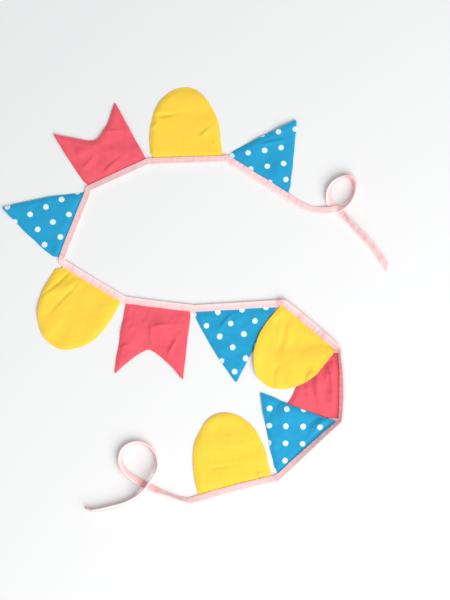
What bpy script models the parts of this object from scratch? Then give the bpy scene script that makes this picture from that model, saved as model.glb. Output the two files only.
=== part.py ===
"""Fabric bunting: eleven sewn pennants held in one folded binding that ends in two ties.

The bunting lies on a surface as it was laid down: a wide curve that doubles back on itself,
its ties each curled in one loop. Every pennant is a cloth sheet whose head sits in the
binding's slot and which comes down to the surface. X runs to the right, Y away from the
viewer and Z up, and the surface is at zero.
"""
import math

import bpy
import numpy as np
from mathutils import Vector
from mathutils.bvhtree import BVHTree

MM = 0.001
COLLECTION = "fabric_bunting"

# Driving sizes in millimetres
TAPE_WIDTH = 12.5
TAPE_THICKNESS = 3.2
SLOT_DEPTH = 8.5
SLOT_GAP = 1.6
TIE_THICKNESS = 2.0
TIE_GROOVE_DEPTH = 1.0
TIE_GROOVE_GAP = 0.4
FOLD_ROUNDING = 0.7
CLOTH = 1.0
HEAD_INSET = 8.0
MOUTH = 1.5
LAYER_GAP = 0.6
TIE_CLEARANCE = 0.7
TIE_STEP_OVER = 6.6
RIGHT_END_SLANT = 0.95
LEFT_END_SLANT = 0.45
SLANTED_STATIONS = 3
HALF_OPEN = 0.5
HANG = 6.0

# How far the cloth takes to come down from the binding's mouth, how straight it leaves the
# slot and how flat it lands. The first two grow with the mouth's height.
DRAPE_LENGTH = 10.0
DRAPE_PER_HEIGHT = 1.2
LEAVING = 3.0
LEAVING_PER_HEIGHT = 1.1
LANDING = 0.9

# Resolution of the meshes
COLUMNS = 11
BODY_ROWS = 8
DRAPE_STEPS = (0.25, 0.5, 0.75, 1.0)
CORNER_STEPS = (0.25, 0.5, 0.75)
CORNER_STRIDE = 0.01
EVEN_TURN_WEIGHT = 2.0
TIE_STEP = 6.0
TIE_TWIST_STEP = 12.0

# How far one cloth keeps clear of the edge of the cloth that it lies on, and how it comes down
COVER_MARGIN = 9.0
COVER_SLOPE = 0.28
COVER_RINGS = (4.0, 8.0, 11.0, 15.0)
COVER_DIRECTIONS = 12
RAY_HEIGHT = 100.0

CORAL = (0.86, 0.11, 0.15)
YELLOW = (0.98, 0.65, 0.06)
BLUE = (0.02, 0.35, 0.67)
PINK = (0.95, 0.61, 0.64)

# One row for each pennant, from the right tie to the left one. The heading runs from x0, y0 to
# x1, y1 along the mouth of the binding, with the cloth on its right-hand side. bow is how far
# the heading curves to that side. The leans are the binding's tilt at the heading's two ends
# and middle, in degrees: below zero its fold is raised and its slot looks down.
HEADINGS = (
    # name, colour, x0, y0, x1, y1, bow, lean at start, middle and end
    ("triangle_1", BLUE, 158.0, 180.5, 57.5, 243.6, 0.0, -6, 0, -4),
    ("round_2", YELLOW, 45.9, 243.6, -71.6, 239.5, 0.0, -6, -9, -8),
    ("swallowtail_3", CORAL, -83.7, 238.2, -181.6, 193.1, 0.0, -10, -15, -18),
    ("triangle_4", BLUE, -187.8, 180.7, -231.5, 71.1, 0.7, -14, -8, -12),
    ("round_5", YELLOW, -224.8, 55.0, -126.1, -4.3, 0.5, -10, -2, 0),
    ("swallowtail_6", CORAL, -117.2, -7.4, -8.3, -20.8, 0.5, 0, 0, 0),
    ("triangle_7", BLUE, -2.0, -21.9, 138.2, -13.3, 0.0, 0, -2, -6),
    ("round_8", YELLOW, 146.5, -9.0, 238.9, -86.6, -0.2, -16, -20, -46),
    ("swallowtail_9", CORAL, 244.0, -93.5, 244.5, -202.5, -0.3, -58, -54, -58),
    ("triangle_10", BLUE, 240.6, -208.1, 141.4, -295.5, 0.8, -56, -38, -12),
    ("round_11", YELLOW, 129.1, -300.6, 6.3, -332.9, 1.4, -10, -5, -12),
)

# Outlines, with along measured on the heading from its start, and out away from it
TRIANGLES = {
    # name: apex along, apex out
    "triangle_1": (54.0, 111.0),
    "triangle_4": (75.0, 119.5),
    "triangle_7": (66.0, 122.5),
    "triangle_10": (64.5, 122.0),
}
ROUNDS = {
    # name: length, straight length of the sides, shift of the end along the heading, belly
    "round_2": (119.5, 30.0, 1.0, 0.5),
    "round_5": (124.0, 44.0, -0.5, 2.0),
    "round_8": (122.5, 36.0, 2.0, 1.0),
    "round_11": (125.0, 40.0, -5.0, 1.5),
}
SWALLOWTAILS = {
    # name: first tip along and out, second tip along and out, notch out, notch place, arch power
    "swallowtail_3": (7.0, 111.0, 125.0, 105.0, 65.0, 0.48, 1.45),
    "swallowtail_6": (-5.5, 122.0, 115.0, 118.0, 73.5, 0.45, 1.35),
    "swallowtail_9": (0.0, 112.0, 113.0, 112.0, 68.0, 0.50, 1.40),
}
FLARES = {
    # name: how far the first and the last side stand out past the heading's ends
    "triangle_1": (1.5, 0.5),
    "triangle_4": (0.0, 5.0),
    "round_5": (4.0, 1.0),
    "swallowtail_6": (1.0, 1.0),
    "triangle_7": (1.5, 0.0),
}
TIP_WIDTH = 3.0
TIP_ROUNDING = 2.0
HEM_REACH = 0.992
FOLD_FADE = 0.65
LYING_FLAT = 0.35

# Soft folds, each a ridge between two points in its pennant's own frame
FOLDS = (
    # name, along and out of its start, along and out of its end, height, half width
    ("round_5", 34.0, 14.0, 0.0, 55.0, 3.2, 8.0),
    ("round_2", 108.0, 74.0, 58.0, 78.0, 1.8, 9.0),
    ("swallowtail_3", 30.0, 28.0, 84.0, 58.0, 2.0, 10.0),
    ("swallowtail_6", 62.0, 24.0, 88.0, 84.0, 2.6, 9.0),
    ("swallowtail_6", 12.0, 72.0, 34.0, 40.0, 1.6, 9.0),
    ("triangle_1", 34.0, 14.0, 40.0, 60.0, 1.8, 9.0),
    ("triangle_7", 70.0, 20.0, 78.0, 74.0, 2.0, 10.0),
    ("round_8", 33.0, 24.0, 80.0, 106.0, 3.0, 10.0),
    ("swallowtail_9", 18.0, 38.0, 88.0, 40.0, 2.4, 9.0),
    ("triangle_10", 18.0, 20.0, 62.0, 26.0, 2.0, 9.0),
    ("round_11", 30.0, 62.0, 96.0, 70.0, 1.8, 10.0),
)

# How far each pennant's rim stands up from the surface: the middle of its first side, the first
# and the last corner of its hem, and the middle of its last side
RIM_LIFTS = {
    "triangle_1": (0.5, 4.0, 4.0, 3.0),
    "round_2": (1.0, 0.0, 0.8, 0.5),
    "swallowtail_3": (0.5, 1.5, 2.5, 1.0),
    "triangle_4": (1.5, 2.0, 2.0, 0.5),
    "round_5": (2.0, 1.0, 0.0, 0.5),
    "swallowtail_6": (1.0, 1.5, 2.0, 0.5),
    "triangle_7": (1.0, 2.0, 2.0, 0.0),
    "round_8": (1.5, 0.5, 0.5, 0.0),
    "swallowtail_9": (0.0, 0.0, 0.0, 0.0),
    "triangle_10": (0.0, 2.0, 2.0, 1.0),
    "round_11": (1.0, 0.5, 1.0, 1.0),
}

# A pennant that lies on earlier or later neighbours, with the neighbours it covers
COVERS = (
    ("round_8", ("triangle_7", "swallowtail_9")),
    ("triangle_10", ("swallowtail_9",)),
)

# The ties' routes: middle of the band in plan, lean in degrees, clearance of its lower edge
RIGHT_TIE = (
    # x, y, lean, lift, from the free end to the first pennant
    (325.7, 54.2, 36, 0.0),
    (312.8, 72.4, 42, 0.0),
    (299.5, 90.3, 48, 0.0),
    (286.6, 104.6, 54, 0.0),
    (273.4, 118.5, 58, 0.0),
    (258.6, 134.2, 62, 0.0),
    (248.0, 145.4, 16, 0.0),
    (238.7, 152.6, 0, 0.0),
    (231.0, 161.0, 0, 0.0),
    (226.8, 173.0, -36, 0.0),
    (227.8, 185.5, -52, 0.0),
    (235.2, 197.6, -62, 0.0),
    (248.4, 206.4, -80, 0.0),
    (261.5, 208.4, -78, 0.0),
    (270.0, 198.2, -66, 0.0),
    (270.6, 184.5, -76, 0.0),
    (264.6, 167.5, -78, 1.2),
    (253.6, 156.6, -68, TIE_THICKNESS + TIE_CLEARANCE),
    (238.7, 152.3, 0, TIE_THICKNESS + TIE_CLEARANCE),
    (226.0, 150.4, 0, TIE_THICKNESS + TIE_CLEARANCE),
    (216.5, 150.2, 0, 1.2),
    (203.0, 151.0, 0, 0.0),
    (182.0, 158.6, 0, 0.0),
)
LEFT_TIE = (
    # x, y, lean, lift, from the last pennant to the free end
    (-8.2, -342.4, -30, 0.0),
    (-22.0, -340.2, -56, 0.0),
    (-43.5, -333.0, -66, 0.0),
    (-62.0, -325.4, -48, 0.0),
    (-80.9, -317.4, -14, 0.0),
    (-93.0, -311.4, -16, 0.0),
    (-107.0, -302.0, -34, 0.0),
    (-122.2, -286.6, -50, 0.0),
    (-126.5, -268.4, -56, 0.0),
    (-120.4, -253.3, -60, 0.0),
    (-105.2, -244.3, -66, 0.0),
    (-90.1, -244.3, -70, 0.0),
    (-74.8, -253.3, -74, 0.0),
    (-65.8, -270.0, -76, 0.6),
    (-65.4, -288.2, -82, 3.0),
    (-72.4, -303.0, -92, TIE_STEP_OVER),
    (-80.9, -317.4, -102, TIE_STEP_OVER),
    (-89.6, -327.6, -108, TIE_STEP_OVER),
    (-101.0, -337.2, -112, 1.5),
    (-120.4, -347.3, -116, 0.0),
    (-143.1, -353.6, -118, 0.0),
    (-165.9, -358.4, -112, 0.0),
    (-178.0, -358.4, -102, 0.0),
    (-185.3, -354.4, -92, 0.0),
)


def clear_scene():
    """Remove every object of the open file."""
    for item in list(bpy.data.objects):
        bpy.data.objects.remove(item, do_unlink=True)


def cloth_material(name, colour):
    """A matt woven cloth of one colour."""
    material = bpy.data.materials.new(name)
    material.use_nodes = True
    shader = material.node_tree.nodes["Principled BSDF"]
    shader.inputs["Base Color"].default_value = (*colour, 1.0)
    shader.inputs["Roughness"].default_value = 0.85
    shader.inputs["Metallic"].default_value = 0.0
    material.diffuse_color = (*colour, 1.0)
    return material


def new_object(name, points, faces, material, collection, parent):
    """Make a smooth-shaded object from points in millimetres and its faces."""
    mesh = bpy.data.meshes.new(name)
    mesh.from_pydata((np.asarray(points) * MM).tolist(), [], faces)
    mesh.materials.append(material)
    mesh.shade_smooth()
    mesh.update()
    item = bpy.data.objects.new(name, mesh)
    collection.objects.link(item)
    item.parent = parent
    return item


def unit(vector):
    """The vector at length one."""
    return vector / np.linalg.norm(vector)


def right_of(direction):
    """The direction a quarter turn to the right in plan."""
    return np.array([direction[1], -direction[0]])


def hermite(start, start_slope, end, end_slope, t):
    """The cubic from start to end with the given slopes, at t between 0 and 1."""
    return (
        (2 * t**3 - 3 * t**2 + 1) * start
        + (t**3 - 2 * t**2 + t) * start_slope
        + (3 * t**2 - 2 * t**3) * end
        + (t**3 - t**2) * end_slope
    )


def blend(first, second, start, end, t):
    """The value that runs from first at start to second at end, at t."""
    return (first * (end - t) + second * (t - start)) / (end - start)


def smooth_route(rows, step):
    """Read a centripetal spline through the rows at about the given step."""
    rows = np.asarray(rows, float)
    rows = np.vstack([2 * rows[0] - rows[1], rows, 2 * rows[-1] - rows[-2]])
    samples = []
    for i in range(1, len(rows) - 2):
        p = rows[i - 1 : i + 3]
        spans = np.linalg.norm(np.diff(p[:, :2], axis=0), axis=1) ** 0.5
        knots = np.concatenate([[0.0], np.cumsum(spans)])
        count = max(
            1,
            round(np.linalg.norm(p[2, :2] - p[1, :2]) / step),
            round(abs(p[2, 2] - p[1, 2]) / TIE_TWIST_STEP))
        for t in np.linspace(knots[1], knots[2], count, endpoint=False):
            first = [blend(p[k], p[k + 1], knots[k], knots[k + 1], t) for k in range(3)]
            second = [
                blend(first[k], first[k + 1], knots[k], knots[k + 2], t) for k in range(2)]
            samples.append(blend(second[0], second[1], knots[1], knots[2], t))
    samples.append(rows[-2])
    return np.array(samples)


class Heading:
    """One pennant's heading line, with the binding's lean along it."""

    def __init__(self, row):
        self.name, self.colour, x0, y0, x1, y1, self.bow, *self.leans = row
        self.start = np.array([x0, y0])
        self.end = np.array([x1, y1])
        self.width = np.linalg.norm(self.end - self.start)
        self.along = unit(self.end - self.start)
        self.out = right_of(self.along)

    def plan(self, along, out):
        """A point of the pennant's plan, from its own frame."""
        return self.start + self.along * along + self.out * out

    def own_frame(self, points):
        """Points of the plan in the pennant's own frame."""
        offset = points - self.start
        return offset @ self.along, offset @ self.out

    def lean(self, f):
        """The binding's lean in radians at fraction f of the heading."""
        first, middle, last = self.leans
        near_start = first * (1 - 2 * f) * (1 - f)
        near_end = last * f * (2 * f - 1)
        return math.radians(near_start + middle * 4 * f * (1 - f) + near_end)

    def band(self, f):
        """The middle of the binding in plan, its direction and its lean, at fraction f."""
        mouth = self.plan(f * self.width, self.bow * 4 * f * (1 - f))
        direction = unit(self.along * self.width + self.out * self.bow * 4 * (1 - 2 * f))
        lean = self.lean(f)
        middle = mouth - right_of(direction) * math.cos(lean) * TAPE_WIDTH / 2
        return middle, direction, lean


def section_points(thickness, gap, depth):
    """The binding's section: a fold at the left and a slot open to the right."""
    half_width = TAPE_WIDTH / 2
    half = thickness / 2
    bottom = half_width - depth
    return np.array([
        (-half_width + FOLD_ROUNDING, -half),
        (half_width, -half),
        (half_width, -gap / 2),
        (bottom, -gap / 2),
        (bottom, gap / 2),
        (half_width, gap / 2),
        (half_width, half),
        (-half_width + FOLD_ROUNDING, half),
        (-half_width, half - FOLD_ROUNDING),
        (-half_width, FOLD_ROUNDING - half),
    ])


SLOT_SECTION = section_points(TAPE_THICKNESS, SLOT_GAP, SLOT_DEPTH)
TIE_SECTION = section_points(TIE_THICKNESS, TIE_GROOVE_GAP, TIE_GROOVE_DEPTH)
CAP_FACES = ((0, 1, 2, 3), (4, 5, 6, 7), (0, 3, 4, 7, 8, 9))


class Station:
    """One cross-section of the binding, placed along its route."""

    def __init__(self, middle, direction, lean, lift, slot):
        side = right_of(direction)
        self.forward = np.array([direction[0], direction[1], 0.0])
        self.across = np.array([
            side[0] * math.cos(lean), side[1] * math.cos(lean), math.sin(lean)])
        self.normal = np.array([
            -side[0] * math.sin(lean), -side[1] * math.sin(lean), math.cos(lean)])
        self.section = SLOT_SECTION * slot + TIE_SECTION * (1 - slot)
        heights = self.section @ np.array([self.across[2], self.normal[2]])
        self.middle = np.array([middle[0], middle[1], lift - heights.min()])

    def place(self, across, normal):
        """A point from its place across the band and off its mid-plane."""
        return self.middle + self.across * across + self.normal * normal

    def ring(self, slant):
        """The section's points in space, on a slant near a free end."""
        return [
            self.place(u, n) + self.forward * u * slant for u, n in self.section]


def tie_stations(rows, slot_end):
    """Stations along a tie. The one at slot_end, next to the pennants, has a half-open slot."""
    samples = smooth_route(rows, TIE_STEP)
    slopes = np.gradient(samples[:, :2], axis=0)
    slots = np.zeros(len(samples))
    slots[slot_end] = HALF_OPEN
    return [
        Station(sample[:2], unit(slope), math.radians(sample[2]), max(sample[3], 0.0), slot)
        for sample, slope, slot in zip(samples, slopes, slots)
    ]


def hang(lean):
    """How far the binding stands up where its slot looks down, so that its cloth can level out."""
    return HANG * (1 - math.cos(lean)) if lean < 0 else 0.0


def corner_stations(before, after):
    """Stations between two headings, on a cubic that leaves and meets them in line."""
    middle_0, direction_0, lean_0 = before.band(1.0)
    middle_1, direction_1, lean_1 = after.band(0.0)
    reach = np.linalg.norm(middle_1 - middle_0)
    turn = math.atan2(
        direction_0[0] * direction_1[1] - direction_0[1] * direction_1[0],
        direction_0 @ direction_1)
    stations = []
    for t in CORNER_STEPS:
        point, nearby = (
            hermite(middle_0, direction_0 * reach, middle_1, direction_1 * reach, place)
            for place in (t, t + CORNER_STRIDE))
        angle = math.atan2(direction_0[1], direction_0[0]) + turn * t
        even = np.array([math.cos(angle), math.sin(angle)])
        direction = unit(even * EVEN_TURN_WEIGHT + unit(nearby - point))
        lean = lean_0 + (lean_1 - lean_0) * t
        stations.append(Station(point, direction, lean, hang(lean), 1.0))
    return stations


def binding_stations(headings):
    """All stations in order, and for each pennant the stations along its heading."""
    own = {}
    for heading in headings:
        own[heading.name] = [
            Station(*heading.band(f), hang(heading.lean(f)), 1.0)
            for f in np.linspace(0, 1, COLUMNS)]
    first, last = headings[0].band(0.0), headings[-1].band(1.0)
    right = list(RIGHT_TIE) + [(*first[0], math.degrees(first[2]), hang(first[2]))]
    left = [(*last[0], math.degrees(last[2]), hang(last[2]))] + list(LEFT_TIE)
    route = tie_stations(right, -2)[:-1]
    for i, heading in enumerate(headings):
        route += own[heading.name]
        if i + 1 < len(headings):
            route += corner_stations(heading, headings[i + 1])
    route += tie_stations(left, 1)[1:]
    return route, own


def build_binding(route, material, collection, parent):
    """Loft the binding's changing section along its route and cap both ends.

    Every side is split from the mouth at one station to the fold at the next, so that the
    faces of a twisted stretch stay parallel.
    """
    size = len(SLOT_SECTION)
    points = []
    for i, station in enumerate(route):
        from_right = max(0.0, 1 - i / SLANTED_STATIONS)
        from_left = max(0.0, 1 - (len(route) - 1 - i) / SLANTED_STATIONS)
        points += station.ring(RIGHT_END_SLANT * from_right + LEFT_END_SLANT * from_left)
    faces = []
    for i in range(len(route) - 1):
        for k in range(size):
            following = (k + 1) % size
            a, b = i * size + k, (i + 1) * size + k
            c, d = (i + 1) * size + following, i * size + following
            from_mouth = SLOT_SECTION[k][0] > SLOT_SECTION[following][0]
            faces += [(a, b, c), (a, c, d)] if from_mouth else [(a, b, d), (b, c, d)]
    last = (len(route) - 1) * size
    faces += list(CAP_FACES)
    faces += [tuple(last + k for k in reversed(face)) for face in CAP_FACES]
    return new_object("binding", points, faces, material, collection, parent)


def triangle_sides(name, width, out):
    """The two side edges of a triangle, along the heading, at a distance out."""
    apex, length = TRIANGLES[name]
    t = out / length
    tip = TIP_WIDTH * t
    return apex * t - tip / 2, width + (apex - width) * t + tip / 2


def round_sides(name, width, out):
    """The two side edges of a round pennant: straight, then half an ellipse."""
    length, straight, shift, belly = ROUNDS[name]
    t = max(0.0, (out - straight) / (length - straight))
    half = (width / 2 + belly * math.sin(math.pi * min(out / length, 1.0))) * math.sqrt(
        max(1 - t * t, 0.0))
    middle = width / 2 + shift * out / length
    return middle - half, middle + half


def swallowtail_sides(name, width, out):
    """The two side edges of a swallowtail."""
    along_0, out_0, along_1, out_1 = SWALLOWTAILS[name][:4]
    return along_0 * out / out_0, width + (along_1 - width) * out / out_1


def swallowtail_hem(name, a):
    """How far out a swallowtail's hem lies at fraction a across: an arched notch."""
    _, out_0, _, out_1, notch, place, power = SWALLOWTAILS[name]
    spread = place if a < place else 1 - place
    tip = out_0 if a < place else out_1
    rounding = TIP_ROUNDING if a in (0.0, 1.0) else 0.0
    return notch + (tip - notch) * (abs(a - place) / spread) ** power - rounding


def pennant_plan(heading, drape):
    """The function that gives a pennant's plan at fraction a across and b down its body."""
    name, width = heading.name, heading.width
    first_flare, last_flare = FLARES.get(name, (0.0, 0.0))

    def plan(a, b):
        if name in TRIANGLES:
            out = drape + (TRIANGLES[name][1] - drape) * b
            left, right = triangle_sides(name, width, out)
        elif name in ROUNDS:
            length = ROUNDS[name][0] * HEM_REACH
            out = drape + (length - drape) * math.sin(b * math.pi / 2)
            left, right = round_sides(name, width, out)
        else:
            out = drape + (swallowtail_hem(name, a) - drape) * b
            left, right = swallowtail_sides(name, width, out)
        left -= first_flare * (1 - b)
        right += last_flare * (1 - b)
        return left + (right - left) * a, out

    return plan


def fold_height(name, along, out):
    """The height of the pennant's soft folds at a point of its own frame."""
    height = 0.0
    for row in FOLDS:
        if row[0] != name:
            continue
        start, end = np.array(row[1:3]), np.array(row[3:5])
        top, half_width = row[5:]
        run = end - start
        t = float(np.clip((np.array([along, out]) - start) @ run / (run @ run), 0, 1))
        distance = np.linalg.norm(np.array([along, out]) - start - run * t)
        height += top * math.exp(-((distance / half_width) ** 2)) * (1 - FOLD_FADE * t)
    return height


def rim_height(name, a, b):
    """How far the rim stands up at fraction a across and b down: strongest at the corners."""
    first_side, first_corner, last_corner, last_side = RIM_LIFTS[name]
    corners = (first_corner * (1 - a) + last_corner * a) * b**3
    sides = (first_side * (1 - a) ** 4 + last_side * a**4) * 4 * b * (1 - b)
    return corners + sides


def relief(name, along, out, a, b):
    """How high the cloth stands off the surface. What is nearly flat lies on it."""
    return max(0.0, fold_height(name, along, out) + rim_height(name, a, b) - LYING_FLAT)


def cover_height(trees, x, y):
    """How high cloth has to lie at x, y to clear the cloths below it and their edges."""
    needed = 0.0
    rings = [(0.0, 1)] + [(radius, COVER_DIRECTIONS) for radius in COVER_RINGS]
    for radius, count in rings:
        for k in range(count):
            angle = 2 * math.pi * k / count
            above = Vector((
                x + radius * math.cos(angle), y + radius * math.sin(angle), RAY_HEIGHT))
            for tree in trees:
                hit = tree.ray_cast(above, Vector((0, 0, -1)))[0]
                if hit is not None:
                    drop = COVER_SLOPE * max(0.0, radius - COVER_MARGIN)
                    needed = max(needed, hit.z + LAYER_GAP - drop)
    return needed


def build_pennant(heading, stations, trees, material, collection, parent):
    """Map a grid from the binding's slot over the drape to the hem, and give it thickness."""
    columns = np.linspace(0, 1, COLUMNS)
    rows = []
    for off in (-HEAD_INSET, MOUTH):
        rows.append([s.place(TAPE_WIDTH / 2 + off, -CLOTH / 2) for s in stations])
    mouths = rows[-1]
    drapes = [DRAPE_LENGTH + DRAPE_PER_HEIGHT * mouth[2] for mouth in mouths]
    plans = [pennant_plan(heading, drape) for drape in drapes]
    feet = []
    for a, plan in zip(columns, plans):
        along, out = plan(a, 0.0)
        x, y = heading.plan(along, out)
        feet.append(np.array([x, y, relief(heading.name, along, out, a, 0.0)]))
    for t in DRAPE_STEPS:
        row = []
        for station, mouth, foot, drape in zip(stations, mouths, feet, drapes):
            leave = station.across * (LEAVING + LEAVING_PER_HEIGHT * mouth[2])
            arrive = np.array([*heading.out, 0.0]) * drape * LANDING
            point = hermite(mouth, leave, foot, arrive, t)
            if trees:
                point[2] = max(point[2], cover_height(trees, point[0], point[1]))
            row.append(point)
        rows.append(row)
    for b in np.linspace(0, 1, BODY_ROWS + 1)[1:]:
        row = []
        for a, plan in zip(columns, plans):
            along, out = plan(a, b)
            x, y = heading.plan(along, out)
            z = relief(heading.name, along, out, a, b)
            if trees:
                z = max(z, cover_height(trees, x, y))
            row.append(np.array([x, y, z]))
        rows.append(row)
    points = np.array(rows).reshape(-1, 3)
    faces = []
    for j in range(len(rows) - 1):
        for i in range(COLUMNS - 1):
            a, b = j * COLUMNS + i, (j + 1) * COLUMNS + i
            faces += [(a, b, a + 1), (b, b + 1, a + 1)]
    item = new_object(heading.name, points, faces, material, collection, parent)
    solidify = item.modifiers.new("thickness", "SOLIDIFY")
    solidify.thickness = CLOTH * MM
    solidify.offset = 1.0
    solidify.use_even_offset = False
    return item


def surface_tree(item, heading):
    """A search tree of a pennant's finished surface outside the binding, in millimetres."""
    bpy.context.view_layer.update()
    graph = bpy.context.evaluated_depsgraph_get()
    finished = item.evaluated_get(graph)
    mesh = finished.to_mesh()
    points = np.array([vertex.co / MM for vertex in mesh.vertices])
    outside = heading.own_frame(points[:, :2])[1] > 0
    faces = [
        tuple(face.vertices) for face in mesh.polygons if outside[list(face.vertices)].all()]
    finished.to_mesh_clear()
    return BVHTree.FromPolygons(points.tolist(), faces)


def centre_on_origin(root, items):
    """Move the parent so that the whole bunting's box is centred over the origin."""
    bpy.context.view_layer.update()
    graph = bpy.context.evaluated_depsgraph_get()
    corners = np.array([
        item.evaluated_get(graph).matrix_world @ Vector(corner)
        for item in items for corner in item.evaluated_get(graph).bound_box])
    low, high = corners.min(axis=0), corners.max(axis=0)
    root.location.x -= (low[0] + high[0]) / 2
    root.location.y -= (low[1] + high[1]) / 2
    bpy.context.view_layer.update()


def main():
    clear_scene()
    collection = bpy.data.collections.new(COLLECTION)
    bpy.context.scene.collection.children.link(collection)
    root = bpy.data.objects.new("bunting_frame", None)
    collection.objects.link(root)
    headings = [Heading(row) for row in HEADINGS]
    route, own = binding_stations(headings)
    tape = cloth_material("pink_cotton_tape", PINK)
    cottons = {
        CORAL: cloth_material("coral_cotton", CORAL),
        YELLOW: cloth_material("yellow_cotton", YELLOW),
        BLUE: cloth_material("blue_dotted_cotton", BLUE),
    }
    items = {"binding": build_binding(route, tape, collection, root)}
    covers = dict(COVERS)
    by_name = {heading.name: heading for heading in headings}
    for heading in sorted(headings, key=lambda h: h.name in covers):
        trees = [
            surface_tree(items[name], by_name[name]) for name in covers.get(heading.name, ())]
        items[heading.name] = build_pennant(
            heading, own[heading.name], trees, cottons[heading.colour], collection, root)
    centre_on_origin(root, items.values())


main()
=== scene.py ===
"""Fabric bunting on a pale floor: its eleven pennants, its folded binding and the stitching.

The file is laid out as an add-on and run as a script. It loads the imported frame, makes each
piece as a surface over two parameters in millimetres, and stands it for its solid.
"""
import functools
import math
import zlib
from collections import namedtuple

import bpy
import numpy as np
from bpy.props import FloatProperty, FloatVectorProperty, PointerProperty
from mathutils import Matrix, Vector


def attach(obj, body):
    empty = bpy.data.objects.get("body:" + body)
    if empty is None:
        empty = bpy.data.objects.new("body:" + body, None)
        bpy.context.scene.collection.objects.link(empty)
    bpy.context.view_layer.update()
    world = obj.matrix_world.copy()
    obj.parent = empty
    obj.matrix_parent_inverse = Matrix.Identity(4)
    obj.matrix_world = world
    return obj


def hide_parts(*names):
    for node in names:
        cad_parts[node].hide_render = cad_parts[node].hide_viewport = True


bl_info = {
    "name": "Fabric bunting",
    "version": (1, 0, 0),
    "blender": (4, 5, 0),
    "location": "3D View > Sidebar > Bunting",
    "description": "Builds a sewn fabric bunting and the stage that it lies on",
    "category": "Add Mesh",
}

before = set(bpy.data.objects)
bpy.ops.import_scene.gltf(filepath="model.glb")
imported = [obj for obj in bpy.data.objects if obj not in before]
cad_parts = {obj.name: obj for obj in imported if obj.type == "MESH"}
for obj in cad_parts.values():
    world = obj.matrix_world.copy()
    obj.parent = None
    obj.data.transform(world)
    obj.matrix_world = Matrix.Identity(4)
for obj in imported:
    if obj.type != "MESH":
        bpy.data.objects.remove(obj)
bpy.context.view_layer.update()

MM = 0.001
# Where the tables' origin lies in the frame
TABLE_ORIGIN = np.array([0.1233, 0.7257])

Pennant = namedtuple("Pennant", "name cloth x0 y0 x1 y1 bow first middle last")
PENNANTS = {row[0]: Pennant(*row) for row in (
    # name, cloth, heading from x0, y0 to x1, y1, bow, lean at start, middle and end
    ("triangle_1", "blue_dotted_cotton", 158.0, 180.5, 57.5, 243.6, 0.0, -6, 0, -4),
    ("round_2", "yellow_cotton", 45.9, 243.6, -71.6, 239.5, 0.0, -6, -9, -8),
    ("swallowtail_3", "coral_cotton", -83.7, 238.2, -181.6, 193.1, 0.0, -10, -15, -18),
    ("triangle_4", "blue_dotted_cotton", -187.8, 180.7, -231.5, 71.1, 0.7, -14, -8, -12),
    ("round_5", "yellow_cotton", -224.8, 55.0, -126.1, -4.3, 0.5, -10, -2, 0),
    ("swallowtail_6", "coral_cotton", -117.2, -7.4, -8.3, -20.8, 0.5, 0, 0, 0),
    ("triangle_7", "blue_dotted_cotton", -2.0, -21.9, 138.2, -13.3, 0.0, 0, -2, -6),
    ("round_8", "yellow_cotton", 146.5, -9.0, 238.9, -86.6, -0.2, -38, -20, -46),
    ("swallowtail_9", "coral_cotton", 244.5, -92.0, 244.5, -202.5, -2.0, -72, -57, -58),
    ("triangle_10", "blue_dotted_cotton", 240.6, -208.1, 141.4, -295.5, 0.8, -56, -38, -12),
    ("round_11", "yellow_cotton", 129.1, -300.6, 6.3, -332.9, 1.4, -10, -5, -12),
)}
TRIANGLES = {
    # name: apex along the heading, apex out from it
    "triangle_1": (54.0, 111.0),
    "triangle_4": (75.0, 119.5),
    "triangle_7": (64.0, 122.5),
    "triangle_10": (64.5, 122.0),
}
ROUNDS = {
    # name: length, straight length of the sides, shift of the end, belly
    "round_2": (118.5, 30.0, 1.0, 0.5),
    "round_5": (124.0, 44.0, -0.5, 2.0),
    "round_8": (122.5, 36.0, 2.0, 1.0),
    "round_11": (125.0, 40.0, -6.0, 1.5),
}
SWALLOWTAILS = {
    # name: first tip along and out, second tip along and out, notch out, place, arch power
    "swallowtail_3": (7.0, 111.0, 125.0, 105.0, 65.0, 0.505, 1.45),
    "swallowtail_6": (-5.5, 122.0, 112.5, 118.0, 73.5, 0.45, 1.43),
    "swallowtail_9": (0.0, 112.0, 113.0, 112.0, 72.5, 0.50, 1.40),
}
SIDES = {
    # name: how far the first and the last side stand out next to the binding, and halfway down
    "triangle_1": (3.0, 4.5, 0.5, 0.5),
    "round_2": (0.0, 4.0, -2.5, 1.0),
    "swallowtail_3": (0.0, 3.5, 0.0, 1.0),
    "triangle_4": (2.0, 6.5, 2.5, 2.0),
    "round_5": (8.5, 1.0, 0.8, -2.5),
    "swallowtail_6": (1.0, 1.5, 0.5, -1.0),
    "triangle_7": (3.0, 0.0, 3.0, -0.5),
    "round_8": (0.0, 0.0, -0.8, 0.0),
    "triangle_10": (0.0, 4.5, -1.5, 1.5),
    "round_11": (0.5, 1.0, -3.2, -3.0),
}
RIM_LIFTS = {
    # name: middle of the first side, first corner, last corner, middle of the last side
    "triangle_1": (0.5, 4.0, 4.0, 3.0),
    "round_2": (1.0, 0.0, 0.8, 0.5),
    "swallowtail_3": (0.5, 1.5, 2.5, 1.0),
    "triangle_4": (1.5, 2.0, 2.0, 0.5),
    "round_5": (2.0, 1.0, 0.0, 0.5),
    "swallowtail_6": (1.0, 1.5, 2.0, 0.5),
    "triangle_7": (1.0, 2.0, 2.0, 0.0),
    "round_8": (7.5, 1.5, 0.5, 0.0),
    "swallowtail_9": (0.0, 0.0, 0.0, 0.0),
    "triangle_10": (0.0, 2.0, 2.0, 1.0),
    "round_11": (1.0, 0.5, 1.0, 1.0),
}
COVERS = {"round_8": ("triangle_7", "swallowtail_9"), "triangle_10": ("swallowtail_9",)}

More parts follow.
